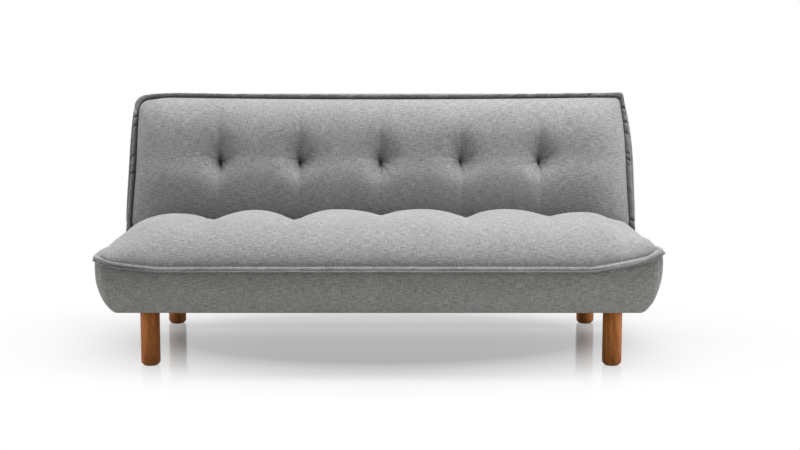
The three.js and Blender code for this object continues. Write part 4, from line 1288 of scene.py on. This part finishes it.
def hingeCutters():
    radius, width = pocketSizes["radius"], 2 * pocketSizes["halfWidth"]
    return [roundCutter((x, hinge.y, hinge.z), radius, width, sideways) for x in hingePlaces]


def cutAway(piece, cutters):
    # takes the cutters out of a closed piece, and then removes them
    for cutter in cutters:
        cut = piece.modifiers.new("cut", "BOOLEAN")
        cut.operation, cut.solver, cut.object = "DIFFERENCE", "EXACT", cutter
    evaluated = piece.evaluated_get(bpy.context.evaluated_depsgraph_get())
    mesh = bpy.data.meshes.new_from_object(evaluated)
    piece.modifiers.clear()
    old, piece.data = piece.data, mesh
    mesh.name = old.name
    used = [old] + [cutter.data for cutter in cutters]
    for cutter in cutters:
        bpy.data.objects.remove(cutter)
    for mesh in used:
        bpy.data.meshes.remove(mesh)
    piece.data.set_sharp_from_angle(angle=math.radians(pocketSizes["sharpAngle"]))


cutAway(seatBox, [slotCutter(x) for x in hingePlaces])
cutAway(backShell, hingeCutters())
cutAway(backCushion, hingeCutters())
print("hinge pockets cut")


# Flat soft pieces: the panel behind the backrest, the dust cover and the felt

def layPanel(name, lines, rows, thickness, heightAt, material, body, slot, replaced, turn):
    # a closed soft sheet over a grid: heightAt gives the height of both faces at a place
    bm = bmesh.new()
    bmesh.ops.create_grid(bm, x_segments=len(lines) - 1, y_segments=len(rows) - 1, size=1)
    uKey, vKey = bm.verts.layers.float.new("rimU"), bm.verts.layers.float.new("rimV")
    for v in bm.verts:
        a = lines[round((v.co.x + 1) / 2 * (len(lines) - 1))]
        b = rows[round((v.co.y + 1) / 2 * (len(rows) - 1))]
        v[uKey], v[vKey] = a, b
        v.co = (a, b, heightAt(a, b, False))
    grown = bmesh.ops.extrude_face_region(bm, geom=bm.faces[:], use_keep_orig=True)["geom"]
    for v in grown:
        if isinstance(v, bmesh.types.BMVert):
            v.co.z = heightAt(v.co.x, v.co.y, True) - thickness
    setUv(bm, bm.faces, uKey, vKey)
    bm.transform(turn)
    bmesh.ops.recalc_face_normals(bm, faces=bm.faces)
    return finishPiece(bm, name, material, body, replaced)


panelSizes = {
    "halfWidth": 0.841,
    "low": 0.064,
    "high": 0.471,
    "front": -0.0757,
    "thickness": 0.0064,
    "hidden": 0.03,
    "crown": 0.0065,
    "reach": 0.11,
    "pucker": 0.0011,
    "puckerReach": 0.03,
    "puckerTurns": 22,
    "lumps": 0.0012,
    "lumpTurns": 4,
    "lumpReach": 0.05,
    "columns": 150,
    "rows": 60,
    "fill": 0.4,
}


def panelHeight(a, b, rear):
    # flat against the frame in front; behind, it swells where the lip lets it free
    sizes = panelSizes
    if not rear:
        return sizes["front"]
    free = min(sizes["halfWidth"] - abs(a), b - sizes["low"], sizes["high"] - b) - sizes["hidden"]
    swell = sizes["crown"] * crownRise(free, sizes["reach"])
    pull = math.exp(-abs(free) / sizes["puckerReach"]) * sizes["pucker"] if free > 0 else 0.0
    turns = sizes["puckerTurns"]
    folds = noiseAt(a * turns, b * turns, 4.2) * pull
    turns = sizes["lumpTurns"]
    lumps = noiseAt(a * turns, b * turns, 1.3) * sizes["lumps"]
    return sizes["front"] - swell - folds - lumps * smoothStep(free / sizes["lumpReach"])


panelSide, panelLow, panelHigh = (panelSizes[name] for name in ("halfWidth", "low", "high"))
panelLines = spreadLines(-panelSide, panelSide, panelSizes["columns"], edgePull=2.0, edgeWidth=0.05)
panelRows = spreadLines(panelLow, panelHigh, panelSizes["rows"], edgePull=2.0, edgeWidth=0.04)
backPanel = layPanel(
    "backPanel", panelLines, panelRows, panelSizes["thickness"], panelHeight,
    shadedBoxCloth, "backrest", "grey_fabric", ["back_panel"], backTurn,
)

dustSizes = {
    "thickness": 0.0015,
    "sag": 0.0035,
    "sagOver": (0.06, 0.3),
    "ripple": 0.0006,
    "rippleTurns": 9,
    "rippleOver": (0.05, 0.1),
    "legHole": 0.0318,
    "holeDepth": 0.03,
    "columns": 120,
    "rows": 40,
}
dustLow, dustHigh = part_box("dust_cover")
dustWide, dustDeep = dustHigh.x - dustLow.x, dustHigh.y - dustLow.y


def gridOver(low, high, sizes):
    lines = np.linspace(low.x, high.x, sizes["columns"] + 1)
    return lines, np.linspace(low.y, high.y, sizes["rows"] + 1)


def dustHeight(a, b, rear):
    # stretched between its edges, it sags a little and ripples along them
    sizes = dustSizes
    along, across = (a - dustLow.x) / dustWide, (b - dustLow.y) / dustDeep
    edge = max(min(along, across, 1 - along, 1 - across), 0.0)
    sag = sizes["sag"] * rampFrom(edge, *sizes["sagOver"])
    ripple = noiseAt(a * sizes["rippleTurns"], b * sizes["rippleTurns"], 6.1) * sizes["ripple"]
    return dustHigh.z - sag - ripple * rampFrom(edge, *sizes["rippleOver"])


dustCover = layPanel(
    "dustCover", *gridOver(dustLow, dustHigh, dustSizes), dustSizes["thickness"], dustHeight,
    dustCloth, "base", "dust_cloth", ["dust_cover"], upright,
)
legLow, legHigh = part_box("leg_front_left")
legY = (legLow.y + legHigh.y) / 2
holeRadius, holeDepth = dustSizes["legHole"], dustSizes["holeDepth"]
holePlaces = [(x, legY, dustHigh.z) for x in hingePlaces]
legHoles = [roundCutter(place, holeRadius, holeDepth, upright) for place in holePlaces]
cutAway(dustCover, legHoles + [slotCutter(x) for x in hingePlaces])

feltSizes = {
    "thickness": 0.0026,
    "dip": 0.0012,
    "dipOver": (0.03, 0.1),
    "press": 0.0003,
    "lumps": 0.0003,
    "lumpTurns": 12,
    "columns": 120,
    "rows": 40,
}
feltLow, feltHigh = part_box("seat_felt")
springs = [f"seat_spring_{k}" for k in (1, 2, 3, 4)]
springMiddles = [sum(corner.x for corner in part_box(spring)) / 2 for spring in springs]


def feltHeight(a, b, rear):
    # it dips a little between the springs that carry it
    sizes = feltSizes
    nearest = min(abs(a - x) for x in springMiddles + [feltLow.x, feltHigh.x, 0.0])
    dip = sizes["dip"] * rampFrom(nearest, *sizes["dipOver"])
    lumps = noiseAt(a * sizes["lumpTurns"], b * sizes["lumpTurns"], 3.3) * sizes["lumps"]
    return feltHigh.z - dip - sizes["press"] - lumps


seatFelt = layPanel(
    "seatFelt", *gridOver(feltLow, feltHigh, feltSizes), feltSizes["thickness"], feltHeight,
    needleFelt, "base", "felt", ["seat_felt"], upright,
)
print("panel, dust cover and felt made")


# Legs

legSizes = {
    "diameter": 0.063,
    "top": 0.1873,
    "edge": 0.012,
    "edgeSteps": 6,
    "topEdge": 0.001,
    "proud": 0.0015,
    "recess": 0.0233,
    "recessTop": 0.0053,
    "studHole": 0.006,
    "bands": (0.05, 0.12),
    "sides": 56,
    "sharpAngle": 50,
}


def makeLeg(name, x, y, replaced):
    sizes = legSizes
    radius, edge, top = sizes["diameter"] / 2, sizes["edge"], sizes["top"]
    profile = [(sizes["recess"], sizes["recessTop"]), (sizes["recess"], sizes["proud"])]
    for k in range(sizes["edgeSteps"] + 1):
        turn = math.radians(90 * k / sizes["edgeSteps"])
        out, up = edge * math.sin(turn), edge * (1 - math.cos(turn))
        profile.append((radius - edge + out, sizes["proud"] + up))
    profile += [(radius, height) for height in (*sizes["bands"], top - sizes["topEdge"])]
    profile += [(radius - sizes["topEdge"], top), (sizes["studHole"], top)]
    bm = bmesh.new()
    corners = [bm.verts.new((r, 0, z)) for r, z in profile]
    edges = [bm.edges.new(pair) for pair in zip(corners, corners[1:])]
    bmesh.ops.spin(
        bm, geom=corners + edges, cent=(0, 0, 0), axis=(0, 0, 1), angle=math.radians(360),
        steps=sizes["sides"], use_merge=True,
    )
    bmesh.ops.remove_doubles(bm, verts=bm.verts, dist=1e-6)
    bmesh.ops.holes_fill(bm, edges=[e for e in bm.edges if e.is_boundary], sides=0)
    bmesh.ops.translate(bm, verts=bm.verts, vec=(x, y, 0))
    bmesh.ops.recalc_face_normals(bm, faces=bm.faces)
    leg = finishPiece(bm, name, legWood, "base", replaced)
    leg.data.set_sharp_from_angle(angle=math.radians(sizes["sharpAngle"]))


for side in ("left", "right"):
    for end in ("front", "rear"):
        node = f"leg_{end}_{side}"
        low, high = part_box(node)
        middle = (low + high) / 2
        makeLeg("leg" + end.title() + side.title(), middle.x, middle.y, [node])
print("legs made")


# Carried-over pieces, by how their names start; the first match holds

finishes = (
    (glidePlastic, ("glide_",)),
    (springWire, ("pawl_spring_", "seat_spring_", "back_spring_")),
    (zincPlate, ("leg_plate_", "pivot_pin_", "pawl_")),
    (blackCoat, ("side_rail_", "cross_tube_", "hinge_bracket_", "back_arm_")),
    (pineAcross, ("seat_board_front", "seat_board_rear", "back_rail_")),
    (pineAlong, ("seat_board_", "seat_brace")),
    (pineUp, ("back_end_", "back_stile_")),
)
for name, node in frame["nodes"].items():
    finish = next((material for material, starts in finishes if name.startswith(starts)), None)
    if finish:
        for slotItem in node.material_slots:
            slotItem.material = finish
print("frame dressed")


# Floor, light and camera

# Each oval lies on the floor: how much its width is narrowed in the measuring, how far back
# its middle is, where its edge fades from and to, and its value inside. Outside it is 1.
floorSizes = {
    "side": 24.0,
    "fade": {"narrow": 0.58, "back": 0.13, "reach": (0.41, 0.98), "inside": 0},
    # shade is a painted shadow on the floor under the sofa, and bounce is painted shade that
    # darkens the light the floor throws back under and behind it
    "shade": {"narrow": 0.8, "back": 0.1, "reach": (0.35, 0.85), "inside": 0.67},
    "bounce": {"narrow": 0.55, "back": 0.55, "reach": (0.45, 0.95), "inside": 0.08},
    "fadePower": 0.5,
    "colour": (0.46, 0.46, 0.46),
    "glow": 0.19,
    "bounceColour": (0.72, 0.72, 0.72),
    "roughness": 0.1,
    "shine": 0.5,
}
lamps = {  # where each stands, what it faces, its width and depth, and its watts
    "overhead": ((0.3, 0.45, 4.2), (0.1, 0.2, 0.3), (6.0, 1.2), 258),
    "front": ((2.2, -3.6, 0.7), (0.0, 0.0, 0.3), (2.4, 1.0), 5),
    "left": ((-3.4, -0.3, 0.9), (0.0, 0.0, 0.4), (1.5, 1.2), 28),
    "right": ((3.4, -0.3, 0.75), (0.0, 0.0, 0.35), (1.5, 1.2), 30),
}
cameraSizes = {
    "lens": 72.0,
    "sensor": 36.0,
    "distance": 4.97,
    "height": 1.167,
    "tilt": 82.09,
    "shift": 0.0234,
    "farthest": 100.0,
}
worldGlow = 0.05


def ovalMask(tree, place, oval):
    values = {"Scale": (oval["narrow"], 1, 1), "Location": (0, -oval["back"], 0)}
    mapped = addNode(tree, "Mapping", {"Vector": place, **values})
    away = addNode(tree, "VectorMath", {0: mapped.outputs["Vector"]}, operation="LENGTH")
    start, end = oval["reach"]
    values = {"Value": away.outputs["Value"], "From Min": start, "From Max": end}
    values |= {"To Min": oval["inside"], "To Max": 1}
    return addNode(tree, "MapRange", values, interpolation_type="SMOOTHSTEP").outputs["Result"]


def seenDirectly(tree):
    # 1 for what the camera sees, straight or in a reflection
    path = addNode(tree, "LightPath").outputs
    return mathNode(tree, "MAXIMUM", path["Is Camera Ray"], path["Is Glossy Ray"]), path


def makeFloor():
    # painted shadow under the sofa, fading to white around it; the light that it throws back is
    # that of a plain pale floor, darkened by painted shade under and behind the sofa
    sizes = floorSizes
    bm = bmesh.new()
    bmesh.ops.create_grid(bm, x_segments=2, y_segments=2, size=sizes["side"] / 2)
    mesh = bpy.data.meshes.new("floor")
    bm.to_mesh(mesh)
    bm.free()
    floor = bpy.data.objects.new("floor", mesh)
    bpy.context.scene.collection.objects.link(floor)
    material, tree, shader = newMaterial("paleFloor")
    place = objectPlace(tree)
    fade, shade, paintedBounceShade = (ovalMask(tree, place, sizes[name]) for name in ("fade", "shade", "bounce"))
    # painted shadow: the floor's colour darkens under the sofa
    feedNode(tree, shader, {
        "Base Color": mixColour(tree, shade, (0, 0, 0), sizes["colour"]),
        "Roughness": sizes["roughness"],
        "Specular IOR Level": sizes["shine"],
    })
    # its glow darkens with the same painted shadow
    glow = addNode(tree, "Emission", {"Strength": mathNode(tree, "MULTIPLY", shade, sizes["glow"])})
    white = addNode(tree, "Emission", {"Strength": 1.0})
    lit = addNode(tree, "AddShader", {0: shader.outputs["BSDF"], 1: glow.outputs["Emission"]})
    faded = mathNode(tree, "POWER", fade, sizes["fadePower"])
    shown = addNode(tree, "MixShader", {0: faded, 1: lit.outputs[0], 2: white.outputs[0]})
    # painted shade: the light thrown back by the floor is darkened under and behind the sofa
    bounceColour = mixColour(tree, paintedBounceShade, (0, 0, 0), sizes["bounceColour"])
    bounce = addNode(tree, "BsdfDiffuse", {"Color": bounceColour})
    seen, _ = seenDirectly(tree)
    both = addNode(tree, "MixShader", {0: seen, 1: bounce.outputs[0], 2: shown.outputs[0]})
    feedNode(tree, tree.nodes["Material Output"], {"Surface": both.outputs[0]})
    mesh.materials.append(material)


def makeWorld(strength):
    # white to look at, but it gives only a little light
    world = bpy.data.worlds.new("studio")
    bpy.context.scene.world = world
    world.use_nodes = True
    tree = world.node_tree
    tree.nodes.clear()
    nodeTrees.append(tree)
    soft = addNode(tree, "Background", {"Color": (1, 1, 1), "Strength": strength})
    white = addNode(tree, "Background", {"Color": (1, 1, 1), "Strength": 1.0})
    seen, path = seenDirectly(tree)
    seen = mathNode(tree, "MAXIMUM", seen, path["Is Transmission Ray"])
    mix = addNode(tree, "MixShader", {0: seen, 1: soft.outputs[0], 2: white.outputs[0]})
    addNode(tree, "OutputWorld", {"Surface": mix.outputs[0]})


def addSoftbox(name, place, aim, size, watts):
    light = bpy.data.lights.new(name, "AREA")
    light.shape = "RECTANGLE"
    light.size, light.size_y = size
    light.energy = watts
    lamp = bpy.data.objects.new(name, light)
    lamp.location = place
    lamp.rotation_euler = (Vector(aim) - Vector(place)).to_track_quat("-Z", "Y").to_euler()
    bpy.context.scene.collection.objects.link(lamp)


def addCamera():
    sizes = cameraSizes
    data = bpy.data.cameras.new("camera")
    data.lens, data.sensor_width = sizes["lens"], sizes["sensor"]
    data.shift_x = sizes["shift"]
    data.clip_end = sizes["farthest"]
    camera = bpy.data.objects.new("camera", data)
    camera.location = (0, seatFront - sizes["distance"], sizes["height"])
    camera.rotation_euler = (math.radians(sizes["tilt"]), 0, 0)
    bpy.context.scene.collection.objects.link(camera)
    bpy.context.scene.camera = camera


makeFloor()
makeWorld(worldGlow)
for name, lamp in lamps.items():
    addSoftbox(name, *lamp)
addCamera()
bpy.context.scene.view_settings.view_transform = "Standard"
for tree in nodeTrees:
    arrangeNodes(tree)
print("stage set")
